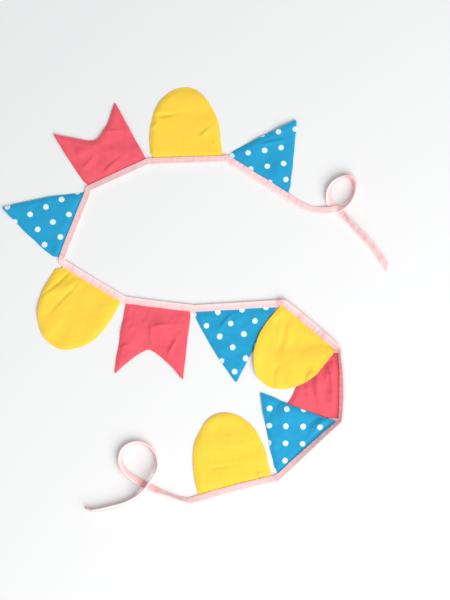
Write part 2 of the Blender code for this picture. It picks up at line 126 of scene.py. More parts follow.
# Soft folds of the solids: along and out of both ends, height, half width
FOLDS = {
    "round_5": ((34.0, 14.0, 0.0, 55.0, 3.2, 8.0),),
    "round_2": ((108.0, 74.0, 58.0, 78.0, 1.8, 9.0),),
    "swallowtail_3": ((30.0, 28.0, 84.0, 58.0, 2.0, 10.0),),
    "swallowtail_6": (
        (62.0, 24.0, 88.0, 84.0, 2.6, 9.0),
        (12.0, 72.0, 34.0, 40.0, 1.6, 9.0),
    ),
    "triangle_1": ((34.0, 14.0, 40.0, 60.0, 1.8, 9.0),),
    "triangle_7": ((70.0, 20.0, 78.0, 74.0, 2.0, 10.0),),
    "round_8": ((33.0, 24.0, 80.0, 106.0, 3.0, 10.0),),
    "swallowtail_9": ((18.0, 38.0, 88.0, 40.0, 2.4, 9.0),),
    "triangle_10": ((18.0, 20.0, 62.0, 26.0, 2.0, 9.0),),
    "round_11": ((30.0, 62.0, 96.0, 70.0, 1.8, 10.0),),
}
FOLD_FADE = 0.65
LYING_FLAT = 0.35
LYING_SOFTNESS = 0.5
LYING_DROP = 0.05

# Creases finer than the solids' folds: along and out of both ends, height, and how wide they are
# on the heading's side and on the other. A negative height is a trough.
CREASES = {
    "triangle_1": (
        (83.9, 43.1, 45.2, 80.5, 1.53, 4.0, 3.0),
        (12.4, 29.8, -3.7, 5.8, 1.87, 4.0, 4.0),
    ),
    "round_2": (
        (112.1, 71.8, 65.3, 74.4, -2.21, 3.5, 3.0),
        (119.6, 52.8, 105.7, 60.9, 1.02, 3.0, 2.0),
        (37.0, 32.1, 14.3, 49.8, 1.87, 4.0, 2.5),
        (16.9, 22.0, 6.6, 25.1, 0.85, 2.5, 2.0),
        (3.8, 8.0, 34.6, 3.1, 1.53, 2.5, 2.0),
        (116.4, -1.7, 114.8, 18.6, 1.36, 1.8, 1.8),
    ),
    "swallowtail_3": (
        (5.7, 45.3, 7.1, 90.8, 2.72, 5.5, 6.0),
        (39.2, 70.0, 11.4, 57.2, 1.36, 3.0, 3.0),
        (1.4, 5.8, -2.2, 37.9, 2.38, 5.0, 6.0),
        (73.3, 8.1, 30.0, 20.9, 2.04, 5.0, 3.5),
        (103.6, 30.5, 75.1, 40.8, 1.9, 6.0, 3.5),
        (97.8, 48.4, 95.6, 73.6, 2.2, 5.0, 5.0),
    ),
    "triangle_4": ((99.4, 4.2, 129.7, 6.7, 1.36, 4.0, 4.0),),
    "round_5": (
        (18.1, -4.0, -6.0, 62.0, -2.6, 2.4, 2.2),
        (37.7, 2.0, 19.2, 82.0, -1.7, 3.5, 3.5),
    ),
    "swallowtail_6": (
        (49.6, 33.7, 87.9, 24.7, 2.21, 4.0, 3.0),
        (47.8, 33.1, 50.9, 58.4, 1.53, 3.5, 3.5),
        (81.5, 76.9, 95.0, 41.0, 2.89, 3.0, 3.0),
        (0.5, 74.9, 10.9, 70.2, 1.02, 2.0, 2.0),
    ),
    "triangle_7": (
        (64.0, 9.0, 36.0, 36.0, 1.7, 3.5, 3.5),
        (136.4, 19.0, 127.5, -2.0, 1.7, 4.0, 4.0),
    ),
    "round_8": (
        (18.0, 2.0, 82.0, 126.0, -2.2, 7.0, 4.5),
        (116.6, 8.2, 119.2, -7.3, 1.7, 4.0, 4.0),
    ),
    "swallowtail_9": (
        (12.0, 6.0, 118.0, 7.0, 5.6, 6.0, 13.0),
        (36.0, 40.0, 108.0, 27.0, 3.2, 7.0, 7.0),
        (50.0, 58.0, 96.0, 43.0, 2.6, 7.0, 7.0),
        (85.2, 2.0, 107.3, 2.1, 1.36, 1.5, 1.5),
        (12.0, 12.0, 32.0, 3.0, 1.8, 3.0, 3.5),
        (24.0, 19.0, 42.0, 11.0, 2.2, 4.0, 4.0),
        (34.0, 22.0, 52.0, 24.0, 1.3, 3.0, 3.5),
    ),
    "triangle_10": (
        (6.0, 14.0, 56.0, 11.0, 5.6, 7.0, 11.0),
        (30.0, 40.0, 64.0, 26.0, 1.6, 5.0, 6.0),
        (27.6, 43.1, 34.3, 35.5, 0.85, 2.0, 2.0),
    ),
    "round_11": (
        (104.1, 41.0, 36.6, 30.2, -0.85, 3.0, 3.0),
        (78.6, 71.2, 21.9, 52.7, -0.77, 3.0, 3.0),
        (23.3, 7.4, 8.8, 8.9, 1.53, 3.0, 3.0),
    ),
}

# Where the printed dots lie as the cloth has settled
DOT_PLACES = {
    # name: middle of one dot, turn of a row in degrees, how the cloth is drawn out along a row and
    # across the rows
    "triangle_1": (118.2, 252.6, 9.2, 0.99, 0.957),
    "triangle_4": (-241.0, 131.0, 25.4, 1.03, 0.99),
    "triangle_7": (41.9, -63.6, -39.9, 1.007, 1.032),
    "triangle_10": (154.6, -215.7, -1.7, 1.004, 1.023),
}

# The ties' routes: middle of the band in plan, lean in degrees, clearance of its lower edge
OVER = 2.7
OVER_RAISED = 6.6
RIGHT_TIE = (
    # x, y, lean, lift, from the free end to the first pennant
    (325.7, 54.2, 36, 0.0),
    (312.8, 72.4, 42, 0.0),
    (299.5, 90.3, 48, 0.0),
    (286.6, 104.6, 54, 0.0),
    (273.4, 118.5, 58, 0.0),
    (258.6, 134.2, 62, 0.0),
    (248.0, 145.4, 16, 0.0),
    (238.7, 152.6, 0, 0.0),
    (231.0, 161.0, 0, 0.0),
    (226.8, 173.0, -36, 0.0),
    (227.8, 185.5, -52, 0.0),
    (235.2, 197.6, -62, 0.0),
    (248.4, 206.4, -80, 0.0),
    (261.5, 208.4, -78, 0.0),
    (270.0, 198.2, -66, 0.0),
    (270.6, 184.5, -76, 0.0),
    (264.6, 167.5, -78, 1.2),
    (253.6, 156.6, -68, OVER),
    (238.7, 152.3, 0, OVER),
    (226.0, 150.4, 0, OVER),
    (216.5, 150.2, 0, 1.2),
    (203.0, 151.0, 0, 0.0),
    (182.0, 158.6, 0, 0.0),
)
LEFT_TIE = (
    # x, y, lean, lift, from the last pennant to the free end
    (-8.2, -342.4, -30, 0.0),
    (-22.0, -340.2, -56, 0.0),
    (-43.5, -333.0, -66, 0.0),
    (-62.0, -325.4, -48, 0.0),
    (-80.9, -317.4, -14, 0.0),
    (-93.0, -311.4, -16, 0.0),
    (-107.0, -302.0, -34, 0.0),
    (-122.2, -286.6, -50, 0.0),
    (-126.5, -268.4, -56, 0.0),
    (-120.4, -253.3, -60, 0.0),
    (-105.2, -244.3, -66, 0.0),
    (-90.1, -244.3, -70, 0.0),
    (-74.8, -253.3, -74, 0.0),
    (-65.8, -270.0, -76, 0.6),
    (-65.4, -288.2, -82, 3.0),
    (-72.4, -303.0, -92, OVER_RAISED),
    (-80.9, -317.4, -102, OVER_RAISED),
    (-89.6, -327.6, -108, OVER_RAISED),
    (-101.0, -337.2, -112, 1.5),
    (-120.4, -347.3, -116, 0.0),
    (-143.1, -353.6, -118, 0.0),
    (-165.9, -358.4, -112, 0.0),
    (-178.0, -358.4, -102, 0.0),
    (-185.3, -354.4, -92, 0.0),
)

# Puckers that the stitching draws into the tape: stretch of the heading, pitch, height
TAPE_PUCKERS = (
    ("triangle_1", 2.0, 112.0, 8.0, 1.2),
    ("triangle_1", -375.0, -262.0, 9.0, 0.9),
    ("triangle_1", -262.0, -60.0, 11.0, 0.7),
    ("round_2", -8.0, 118.0, 12.0, 0.7),
    ("swallowtail_3", 0.0, 105.0, 14.0, 0.5),
    ("triangle_4", 0.0, 112.0, 13.0, 0.7),
    ("round_5", 18.0, 112.0, 8.5, 1.3),
    ("swallowtail_6", 10.0, 112.0, 9.0, 0.8),
    ("triangle_7", 2.0, 138.0, 11.0, 0.7),
    ("round_8", 8.0, 112.0, 8.5, 1.6),
    ("swallowtail_9", 0.0, 105.0, 11.0, 0.8),
    ("triangle_10", 4.0, 126.0, 9.0, 1.1),
    ("round_11", 4.0, 122.0, 9.0, 1.1),
    ("round_11", 130.0, 200.0, 10.0, 0.8),
    ("round_11", 330.0, 470.0, 10.0, 0.8),
)
# Creases right across the tape: place on the heading, slant, depth of the line, rise beside it
# and the length over which the rise dies away, negative where it lies before the line
TAPE_CREASES = (
    ("round_2", -3.0, 0.2, 0.8, 0.5, 5.0),
    ("round_2", -10.0, 0.3, 0.8, 0.5, -5.0),
    ("round_2", 118.0, 0.0, 0.6, 0.4, 5.0),
    ("round_5", 15.0, -0.2, 1.0, 1.0, -9.0),
    ("swallowtail_6", -5.0, 0.3, 0.8, 0.6, -4.0),
    ("triangle_7", 137.0, -0.5, 1.0, 1.0, -6.0),
    ("round_11", -6.0, 0.4, 0.8, 0.6, 5.0),
)

# Painted light on the tape: where its pink is painted deeper as shade, or the painted highlight on
# its fold dims: place on the heading, reach either way, how much of the fold's painted highlight goes
# and how much deep-pink painted shade comes. Less than nothing paints a highlight.
TAPE_PAINTED_LIGHT = (
    ("triangle_1", -361.0, 5.0, 0.0, 0.30),
    ("triangle_1", -340.0, 5.0, 0.0, 0.35),
    ("triangle_1", -318.0, 6.0, 0.0, 0.50),
    ("triangle_1", -303.0, 4.0, 0.0, 0.60),
    ("triangle_1", -290.0, 4.0, 0.0, 0.50),
    ("triangle_1", -276.0, 5.0, 0.0, 0.50),
    ("triangle_1", -173.0, 8.0, 0.6, 0.80),
    ("triangle_1", -156.5, 7.0, 0.6, 0.60),
    ("triangle_1", -138.0, 10.0, 0.4, 0.40),
    ("triangle_1", -116.0, 8.0, 0.0, 0.35),
    ("triangle_1", -30.0, 3.0, 0.0, 0.30),
    ("triangle_1", -20.0, 2.5, 0.0, 0.40),
    ("triangle_1", -5.0, 3.0, 0.0, 0.50),
    ("triangle_1", 108.5, 1.6, 0.5, 0.45),
    ("triangle_1", 121.0, 1.8, 0.5, 0.60),
    ("round_2", 119.0, 1.5, 0.5, 0.40),
    ("swallowtail_3", 111.0, 5.0, 0.0, -0.50),
    ("round_5", -4.0, 6.0, 0.0, -0.70),
    ("round_5", 15.2, 1.4, 0.5, 0.70),
    ("swallowtail_6", -6.0, 3.5, 0.0, -0.80),
    ("swallowtail_6", -0.5, 1.0, 0.5, 0.60),
    ("triangle_7", 146.0, 6.0, 0.9, 0.75),
    ("round_8", 39.5, 9.0, 0.2, 0.45),
    ("round_8", 63.0, 7.0, 0.0, 0.25),
    ("round_8", 87.0, 9.0, 0.3, 0.50),
    ("swallowtail_9", 55.0, 70.0, 0.9, 0.12),
    ("triangle_10", 50.0, 80.0, 0.6, 0.05),
    ("round_11", -8.0, 2.0, 0.5, 0.70),
    ("round_11", 204.0, 7.0, 0.5, 0.60),
    ("round_11", 228.0, 9.0, 0.8, 0.90),
    ("round_11", 378.0, 24.0, 0.3, 0.30),
    ("round_11", 545.0, 9.0, 0.3, 0.50),
)

# How full a bend the binding takes after a heading, 1 where it has no value here
CORNER_FULLNESS = {"triangle_7": 0.4}

# How the cloth comes down from the mouth, as in the solids
DRAPE_LENGTH = 10.0
DRAPE_PER_HEIGHT = 1.2
LEAVING = 3.0
LEAVING_PER_HEIGHT = 1.1
LANDING = 0.9
MOUTH = 1.5
HEAD_INSET = 8.0
TIP_WIDTH = 3.0
APEX_ROUNDING = 0.8
TIP_ROUNDING = 2.2
TIP_SHARE = 0.035
HEM_REACH = 0.999
HEAD_ROWS = 7
FALL_ROWS = 14

# The cloth's weave, wear and print: spans of noise, then how much they tint, roughen or raise
SLUB_STRETCH = 0.03
SLUB_SCALE = 0.45
CROSSING_HEIGHT = 0.3
THREAD_SPAN = (0.3, 0.7)
THREAD_TINT = 0.5
CLOUDS = ((14.0, 3.0), (190.0, 2.0))
FINE_CLOUDS = 0.4
CLOUD_SPAN = (0.35, 0.65)
CLOUD_TINT = 0.35
DEEP_POWER = 1.25
LIGHT_GAIN = 1.06
LIGHT_RISE = 0.01
SEAM_TINT = 0.12
COTTON_ROUGHNESS = (0.82, 0.96)
COTTON_SURFACE = {"Sheen Weight": 0.12, "Sheen Roughness": 0.5, "Specular IOR Level": 0.25}
WEAVE_BUMP = (0.35, 0.00012)
PRINT_COVER = 0.97
PRINT_SCALE = 900.0
PRINT_UNEVEN = 0.00025
PRINT_SOFT = 0.0003
PLY_TURNS = 9000.0
FUZZ_SCALE = 2500.0
DARK_PLY = 0.8
THREAD_ROUGHNESS = (0.55, 0.75)
PLY_BUMP = (0.3, 0.0001)
MIX_FACTOR, MIX_FIRST, MIX_SECOND, MIX_RESULT = 0, 6, 7, 2
NODES_A_ROW, NODE_WIDTH, NODE_HEIGHT = 9, 180, 260

# The stage
FLOOR_SPAN = 3.0
FLOOR_CLOUDS = (3.0, 3.0)
FLOOR_SHADE = 0.995
FLOOR_SURFACE = {"Roughness": 0.8, "Specular IOR Level": 0.2}
KEY_COLOUR = (1.0, 0.99, 0.97)
FILL_COLOUR = (0.96, 0.98, 1.0, 1.0)
SENSOR_WIDTH = 36.0
FURTHEST = 50.0

# A set of gentle waves: how many, and how their lengths spread about the pitch
RIPPLE_COUNT = 9
RIPPLE_PITCHES = (0.75, 1.5)

# Finer forms of a pennant
SEAM_ALLOWANCE = 6.0
EDGE_RADIUS = 0.9
EDGE_STEPS = (0.0, 0.12, 0.4, 0.9)
CLOTH_STEP = 1.45
COVER_MARGIN = 4.0
COVER_REACH = 14.0
COVER_SLOPE = 0.28
COVER_CELL = 2.0
COVER_SOFTNESS = 0.4
NO_CLOTH = -9.0
NOTHING_NEEDED = -1.0
JUST_OVER_ONE = 1.001
LAYER_GAP = 0.6
SAME_PLACE = 0.05
SEAM_RISE = (0.3, 2.0)
SEAM_FALL = (-1.2, 0.8)
SEAM_WAVE = 0.1
SEAM_WAVE_PITCH = 9.0
SEAM_THICKENING = 0.35
FLOOR_GAP = 0.02
FLOOR_SOFTNESS = 0.1

# Finer forms of the binding
SLOT_DEPTH = 8.5
SOLID_FOLD = 0.7
TIE_THICKNESS = 2.0
ROUTE_STEP = 1.7
SLOT_OPENING = 12.0
CORNER_STRETCH = 1.3
LOOK_AHEAD = 0.01
EVENNESS = 2.0
STITCH_INSET = 2.2
STITCH_PULL = 0.35
STITCH_STAND = 0.35
LAST_STITCH = 2.0
THREAD_SIDES = 6
# A stitch's rings: place in its length, girth and height in thread radii
STITCH_RINGS = np.array([
    [-0.5, -0.42, -0.22, 0.22, 0.42, 0.5],
    [0.35, 0.85, 1.0, 1.0, 0.85, 0.35],
    [-1.6, -0.5, 0.0, 0.0, -0.5, -1.6],
])
TROUGH_DEPTH = 0.3
TROUGH_WIDTH = 0.6
CREASE_LINE = 0.8
TAPE_WAVE = 0.12
TAPE_WAVE_PITCH = 22.0
LIP_WANDER = 0.22
WANDER_PITCH = 38.0
# Ranges of a pucker's place in its pitch, share of the height, slant and width
PUCKERS = ((0.2, 0.8), (0.4, 1.2), (-0.25, 0.25), (1.5, 3.0))
PUCKER_AT_FOLD = 0.3
PUCKER_REACH = 6.0
RIGHT_END_SLANT = 0.95
LEFT_END_SLANT = 0.45
SLANT_REACH = 18.0
CLOSING = 2.5
HANG = 6.0
RESTING = 0.03
FOLD_PUFF = 0.4
WANDER = 0.35
# Distances from the fold over which the painted highlight on the tape's fold fades out
PAINTED_HIGHLIGHT_SPAN = (2.2, 4.6)

# The binding's section: how many places go round the fold, over the flat and over the trough, how
# far they lie from the fold or from the lip's edge, and how the lip and the slot are cut
FOLD_PLACES = 7
FOLD_REACH = 2.1
FLAT_PLACES = 6
FLAT_END = 3.6
TROUGH_PLACES = 7
TROUGH_SPAN = (3.1, 0.7)
LIP_INSETS = (0.3, 0.08, 0.0, 0.12)
LIP_THINNING = (0.92, 0.72)
LIP_SHARE = 0.45
LIP_ROUND = 0.05
SLOT_PLACES = np.array([0.25, 0.6, 1.0])
SLOT_PLAY = 0.2
CLOSED_GAP = 0.1
GROOVE_DEPTH = 1.0
PUFF_SPAN = (1.5, 7.0)
FLAT_PLACE = -10

# Finer forms of the cloth's faces
LOFT = 2.4
LOFT_START = -1.0
LOFT_REACH = 9.0
WAVES = {
    # cloth: height of the wide waves and of the narrow ones
    "coral_cotton": (0.9, 0.2),
    "yellow_cotton": (0.6, 0.12),
    "blue_dotted_cotton": (0.6, 0.15),
}
WIDE_WAVE = 42.0
NARROW_WAVE = 14.0
BEND = 1.1
BEND_PITCH = 40.0
CREASE_GAIN = 1.35
CREASE_START = (-0.1, 0.25)
CREASE_END = (0.4, 1.0)
CREASE_FADE = 0.8
GATHER_PITCH = 6.5
# Ranges of a gather's place in its pitch, height, length, skew and width
GATHERS = ((0.1, 0.9), (0.1, 0.4), (6.0, 20.0), (-0.35, 0.35), (1.3, 2.8))


def unit(vectors):
    """Each vector divided by its own length."""
    return vectors / np.linalg.norm(vectors, axis=-1, keepdims=True)


def right_of(direction):
    """Plan directions turned a quarter turn to the right: x, y becomes y, -x."""
    return np.stack([direction[..., 1], -direction[..., 0]], axis=-1)


def cubic_between(start, leaving, end, arriving, t):
    """The cubic between two points that has the given slopes at its ends."""
    return (
        (2 * t**3 - 3 * t**2 + 1) * start
        + (t**3 - 2 * t**2 + t) * leaving
        + (3 * t**2 - 2 * t**3) * end
        + (t**3 - t**2) * arriving
    )


def smooth_step(low, high, value):
    """Zero below low and one above high, with 3t squared minus 2t cubed between them."""
    t = np.clip((value - low) / (high - low), 0.0, 1.0)
    return t * t * (3 - 2 * t)


def soft_max(first, second, softness):
    """The larger of two values, with the corner between them rounded off."""
    return (first + second + np.sqrt((first - second) ** 2 + softness**2)) / 2


def seeded(name):
    """A random generator that always gives the same draws for a name."""
    return np.random.default_rng(zlib.crc32(name.encode()))


def scattered(name, count, ranges):
    """Rows of values drawn evenly from their ranges: all of one value before those of the next."""
    draws = seeded(name)
    return list(zip(*(draws.uniform(*span, count) for span in ranges)))


def ripples(x, y, pitch, name, count=RIPPLE_COUNT):
    """Gentle waves of about one pitch: a sum of sines in seeded directions, about -1 to 1."""
    draws = seeded(name)
    angles = draws.uniform(0, math.pi, count)
    lengths = pitch * draws.uniform(*RIPPLE_PITCHES, count)
    phases = draws.uniform(0, 2 * math.pi, count)
    total = np.zeros(np.broadcast(x, y).shape)
    for angle, length, phase in zip(angles, lengths, phases):
        total += np.sin(2 * math.pi * (x * math.cos(angle) + y * math.sin(angle)) / length + phase)
    return total / math.sqrt(count)


def edge_spaced(length, step):
    """Places from 0 to a length: an even step between close-set ones at both ends."""
    edge = np.array(EDGE_STEPS)
    count = max(4, round((length - 2 * edge[-1]) / step))
    middle = np.linspace(edge[-1], length - edge[-1], count + 1)[1:-1]
    return np.concatenate([edge, middle, (length - edge)[::-1]])


def heading_frame(pennant):
    """A heading's start, its direction, the direction away from it and its length."""
    start = np.array([pennant.x0, pennant.y0])
    run = np.array([pennant.x1, pennant.y1]) - start
    width = np.linalg.norm(run)
    return start, run / width, right_of(run / width), width


def heading_band(pennant, f, tape_width):
    """The binding's middle in plan, its direction and its lean at fractions f of a heading.

    The mouth follows a parabola over the straight heading, the lean is the parabola through its
    values at start, middle and end, and the middle lies half the leaning width inside the mouth.
    """
    start, along, out, width = heading_frame(pennant)
    g = np.atleast_1d(f)[:, None]
    mouth = start + along * width * g + out * pennant.bow * 4 * g * (1 - g)
    direction = unit(along * width + out * pennant.bow * 4 * (1 - 2 * g))
    lean = np.radians(
        pennant.first * (1 - 2 * g) * (1 - g)
        + pennant.middle * 4 * g * (1 - g)
        + pennant.last * g * (2 * g - 1))
    middle = mouth - right_of(direction) * np.cos(lean) * tape_width / 2
    return middle, direction, lean[:, 0]


Band = namedtuple("Band", "middle forward across normal slot held")


def hang(lean):
    """How far the binding stands up where its slot looks down: a length times 1 less the cosine."""
    return np.where(lean < 0, HANG * (1 - np.cos(lean)), 0.0)


def stand(plan, direction, lean, lift, slot, sizes):
    """Place the binding's stations so that the lowest corner of each section is at its lift.

    Across is the sideways direction raised by the lean, normal is square to it, and slot runs
    from 0 on a tie to 1 where the binding holds cloth.
    """
    side = right_of(direction)
    cosine, sine = np.cos(lean)[:, None], np.sin(lean)[:, None]
    across = np.hstack([side * cosine, sine])
    normal = np.hstack([-side * sine, cosine])
    half_width = sizes.tape_width / 2
    half = (TIE_THICKNESS + (sizes.tape_thickness - TIE_THICKNESS) * slot) / 2
    lowest = np.min([
        u * across[:, 2] + sign * n * normal[:, 2]
        for u, n in (
            (SOLID_FOLD - half_width, half), (-half_width, half - SOLID_FOLD), (half_width, half))
        for sign in (1, -1)
    ], axis=0)
    middle = np.column_stack([plan, lift - lowest])
    forward = np.hstack([direction, np.zeros_like(cosine)])
    return Band(middle, forward, across, normal, slot, slot)


def blend(first, second, start, end, t):
    """The value that runs evenly from first at start to second at end."""
    return (first * (end - t) + second * (t - start)) / (end - start)


def spline(rows, step):
    """A centripetal spline through the rows: knots are spaced by the root of the distance."""
    rows = np.asarray(rows, float)
    rows = np.vstack([2 * rows[0] - rows[1], rows, 2 * rows[-1] - rows[-2]])
    samples = []
    for i in range(1, len(rows) - 2):
        p = rows[i - 1 : i + 3]
        spans = np.linalg.norm(np.diff(p[:, :2], axis=0), axis=1)
        knots = np.concatenate([[0.0], np.cumsum(spans**0.5)])
        count = max(1, round(spans[1] / step))
        t = np.linspace(knots[1], knots[2], count, endpoint=False)[:, None]
        first = [blend(p[k], p[k + 1], knots[k], knots[k + 1], t) for k in range(3)]
        second = [blend(first[k], first[k + 1], knots[k], knots[k + 2], t) for k in range(2)]
        samples.append(blend(second[0], second[1], knots[1], knots[2], t))
    return np.vstack([*samples, rows[-2:-1]])


def tie_band(rows, from_heading, sizes):
    """A tie's stations. The slot closes over a short stretch next to the pennants."""
    samples = spline(rows, ROUTE_STEP)
    direction = unit(np.gradient(samples[:, :2], axis=0))
    steps = np.linalg.norm(np.diff(samples[:, :2], axis=0), axis=1)
    distance = np.concatenate([[0.0], np.cumsum(steps)])
    if not from_heading:
        distance = distance[-1] - distance
    slot = 1 - smooth_step(0.0, SLOT_OPENING, distance)
    lift = np.maximum(samples[:, 3], 0.0)
    return stand(samples[:, :2], direction, np.radians(samples[:, 2]), lift, slot, sizes)


def corner_band(before, after, sizes):
    """Stations between two headings, on a cubic whose sections turn evenly along it."""
    middle_0, direction_0, lean_0 = (value[0] for value in heading_band(before, 1.0, sizes.tape_width))
    middle_1, direction_1, lean_1 = (value[0] for value in heading_band(after, 0.0, sizes.tape_width))
    reach = np.linalg.norm(middle_1 - middle_0)
    full = reach * CORNER_FULLNESS.get(before.name, 1.0)
    t = np.linspace(0, 1, max(4, round(CORNER_STRETCH * reach / ROUTE_STEP)) + 1)[1:-1]
    plan, nearby = (
        cubic_between(middle_0, direction_0 * full, middle_1, direction_1 * full, place[:, None])
        for place in (t, t + LOOK_AHEAD))
    turn = math.atan2(
        direction_0[0] * direction_1[1] - direction_0[1] * direction_1[0],
        direction_0 @ direction_1)
    angle = math.atan2(direction_0[1], direction_0[0]) + turn * t
    even = np.column_stack([np.cos(angle), np.sin(angle)])
    direction = unit(even * EVENNESS + unit(nearby - plan))
    lean = lean_0 + (lean_1 - lean_0) * t
    return stand(plan, direction, lean, hang(lean), np.ones_like(t), sizes)


@functools.cache
def binding_route(sizes):
    """All stations from the right tie's end to the left one's, their distances along the
    binding, and the distance at which each heading starts."""
    order = list(PENNANTS.values())
    joints = []
    for pennant, f in ((order[0], 0.0), (order[-1], 1.0)):
        middle, _, lean = heading_band(pennant, f, sizes.tape_width)
        joints.append((*middle[0], math.degrees(lean[0]), float(hang(lean)[0])))
    right = tie_band([*RIGHT_TIE, joints[0]], False, sizes)
    left = tie_band([joints[1], *LEFT_TIE], True, sizes)
    bands = [Band(*(values[:-1] for values in right))]
    first_station = {}
    for i, pennant in enumerate(order):
        width = heading_frame(pennant)[3]
        f = np.linspace(0, 1, round(width / ROUTE_STEP) + 1)
        first_station[pennant.name] = sum(len(band.slot) for band in bands)
        middle, direction, lean = heading_band(pennant, f, sizes.tape_width)
        bands.append(stand(middle, direction, lean, hang(lean), np.ones_like(f), sizes))
        if i + 1 < len(order):
            bands.append(corner_band(pennant, order[i + 1], sizes))
    bands.append(Band(*(values[1:] for values in left)))
    route = Band(*(np.concatenate(values) for values in zip(*bands)))
    steps = np.linalg.norm(np.diff(route.middle, axis=0), axis=1)
    distance = np.concatenate([[0.0], np.cumsum(steps)])
    starts = {name: distance[i] for name, i in first_station.items()}
    held = np.zeros_like(distance)
    for name, start in starts.items():
        past = np.maximum(start - distance, distance - start - heading_frame(PENNANTS[name])[3])
        held = np.maximum(held, 1 - smooth_step(0.0, CLOSING, past))
    return route._replace(held=held), distance, starts


def tape_profile(slot, held, sizes):
    """The binding's section at each station, as places across and off its mid-plane.

    From the slot's bottom along the lower lip, round the fold and back along the upper lip: the
    fold is a quarter ellipse on each side of the mid-plane, the lips are rounded, and the
    thickness, the slot's gap and its depth are those of a tie mixed with those of a heading.
    """
    half_width = sizes.tape_width / 2
    fold = np.linspace(0, math.pi / 2, FOLD_PLACES)
    fold_u = -half_width + FOLD_REACH * (1 - np.cos(fold))
    flat_u = np.linspace(fold_u[-1], half_width - FLAT_END, FLAT_PLACES)[1:]
    trough_u = half_width - np.linspace(*TROUGH_SPAN, TROUGH_PLACES)
    lip_u = half_width - np.array(LIP_INSETS)
    level = np.ones(len(flat_u) + len(trough_u))
    thickness_shape = np.concatenate([np.sin(fold), level, LIP_THINNING])
    outer_u = np.concatenate([fold_u, flat_u, trough_u, lip_u[:2]])
    slot, held = slot[:, None], held[:, None]
    half = (TIE_THICKNESS + (sizes.tape_thickness - TIE_THICKNESS) * slot) / 2
    gap = (CLOSED_GAP + (sizes.cloth_thickness + SLOT_PLAY - CLOSED_GAP) * held) / 2
    depth = GROOVE_DEPTH + (SLOT_DEPTH - GROOVE_DEPTH) * slot
    ones = np.ones_like(slot)
    puff = 1 + FOLD_PUFF * (1 - smooth_step(*PUFF_SPAN, outer_u + half_width))
    outer_n = half * thickness_shape * puff
    lip_n = np.hstack([half * LIP_SHARE + gap * (1 - LIP_SHARE), gap + LIP_ROUND])
    inner_u = half_width - depth * SLOT_PLACES
    inner_n = gap * np.ones(len(SLOT_PLACES))
    u = np.hstack([ones * outer_u, ones * lip_u[2:], inner_u])
    n = np.hstack([outer_n, lip_n, inner_n])
    upper = np.stack([u, n], axis=-1)
    lower = np.stack([u[:, ::-1], -n[:, ::-1]], axis=-1)
    return np.concatenate([lower[:, :-1], upper], axis=1)


def tape_relief(distance, across, starts, sizes):
    """How far the tape's faces stand proud, over its length and width.

    Puckers are short bell-shaped ridges across it, strongest at the stitched lip. A crease is a
    narrow groove with a rise that dies away on one side. The stitched line is a shallow trough
    that is deepest between stitches, and slow waves keep the faces from being even.
    """
    half_width = sizes.tape_width / 2
    s, u = distance[:, None], across
    towards_lip = smooth_step(-half_width, half_width, u)
    relief = TAPE_WAVE * ripples(s, 2 * u, TAPE_WAVE_PITCH, "tape waves")
    for name, start, end, pitch, height in TAPE_PUCKERS:
        count = round((end - start) / pitch)
        rows = scattered("puckers " + name, count, PUCKERS)
        for i, (shift, tall, slant, wide) in enumerate(rows):
            place = starts[name] + start + pitch * (i + shift)
            near = np.abs(distance - place) < PUCKER_REACH * wide
            bell = np.exp(-(((s[near] - place - slant * u[near]) / wide) ** 2))
            share = PUCKER_AT_FOLD + (1 - PUCKER_AT_FOLD) * towards_lip[near]
            relief[near] += height * tall * bell * share
    for name, along, slant, depth, rise, fade in TAPE_CREASES:
        ahead = s - starts[name] - along - slant * u
        beside = np.clip(1 - ahead / fade, 0, 1) * (ahead * fade > 0)
        relief += rise * beside**2 - depth * np.exp(-((ahead / CREASE_LINE) ** 2))
    line = np.exp(-(((u - half_width + STITCH_INSET) / TROUGH_WIDTH) ** 2))
    between = 1 - STITCH_PULL * (1 + np.cos(2 * math.pi * s / sizes.stitch_pitch))
    return relief - TROUGH_DEPTH * line * between


def tape_painted_light(distance, across, starts, sizes):
    """Painted light on the tape: 1 for the painted highlight on its fold, -1 for painted shade in its
    folds.

    The fold's painted highlight fades across the tape, and each painted tint is a bell along it.
    """
    fold = 1 - smooth_step(*PAINTED_HIGHLIGHT_SPAN, across + sizes.tape_width / 2)
    deep = np.zeros_like(across)
    # Each row takes painted highlight off the fold (rubbed) and paints deep-pink shade (tint); a
    # negative tint paints a highlight.
    for name, along, reach, rubbed, tint in TAPE_PAINTED_LIGHT:
        bell = np.exp(-(((distance - starts[name] - along) / reach) ** 2))[:, None]
        fold = fold * (1 - rubbed * bell)
        deep = deep + tint * bell
    return np.clip(fold * (1 - np.clip(deep, 0, 1)) - deep, -1, 1)


@functools.cache
def binding_surface(sizes):
    """The binding's points over route and profile, and the profile's places.

    A point is the station's middle plus its place across and off the mid-plane, with the relief
    added on the outer faces and the mouth's edge wandering a little from side to side.
    """
    route, distance, starts = binding_route(sizes)
    profile = tape_profile(route.slot, route.held, sizes)
    u, n = profile[..., 0], profile[..., 1]
    flat = n[:, FLAT_PLACE, None]
    outer = np.clip(np.abs(n) / flat, 0, 1) ** 2
    n = n + np.sign(n) * outer * tape_relief(distance, u, starts, sizes)
    u = u + LIP_WANDER * ripples(distance, 0.0, WANDER_PITCH, "tape edge")[:, None] * (u > 0)
    ends = (
        RIGHT_END_SLANT * np.clip(1 - distance / SLANT_REACH, 0, 1)
        + LEFT_END_SLANT * np.clip(1 - (distance[-1] - distance) / SLANT_REACH, 0, 1))
    points = (
        route.middle[:, None]
        + route.across[:, None] * u[..., None]
        + route.normal[:, None] * n[..., None]
        + route.forward[:, None] * (ends[:, None] * u)[..., None])
    points[..., 2] = np.maximum(points[..., 2], RESTING)
    return points, profile


def triangle_outline(name, width, out):
    """Both side edges of a triangle at a distance out, which run straight to the apex."""
    apex, length = TRIANGLES[name]
    t = out / length
    return apex * t - TIP_WIDTH * t / 2, width + (apex - width) * t + TIP_WIDTH * t / 2


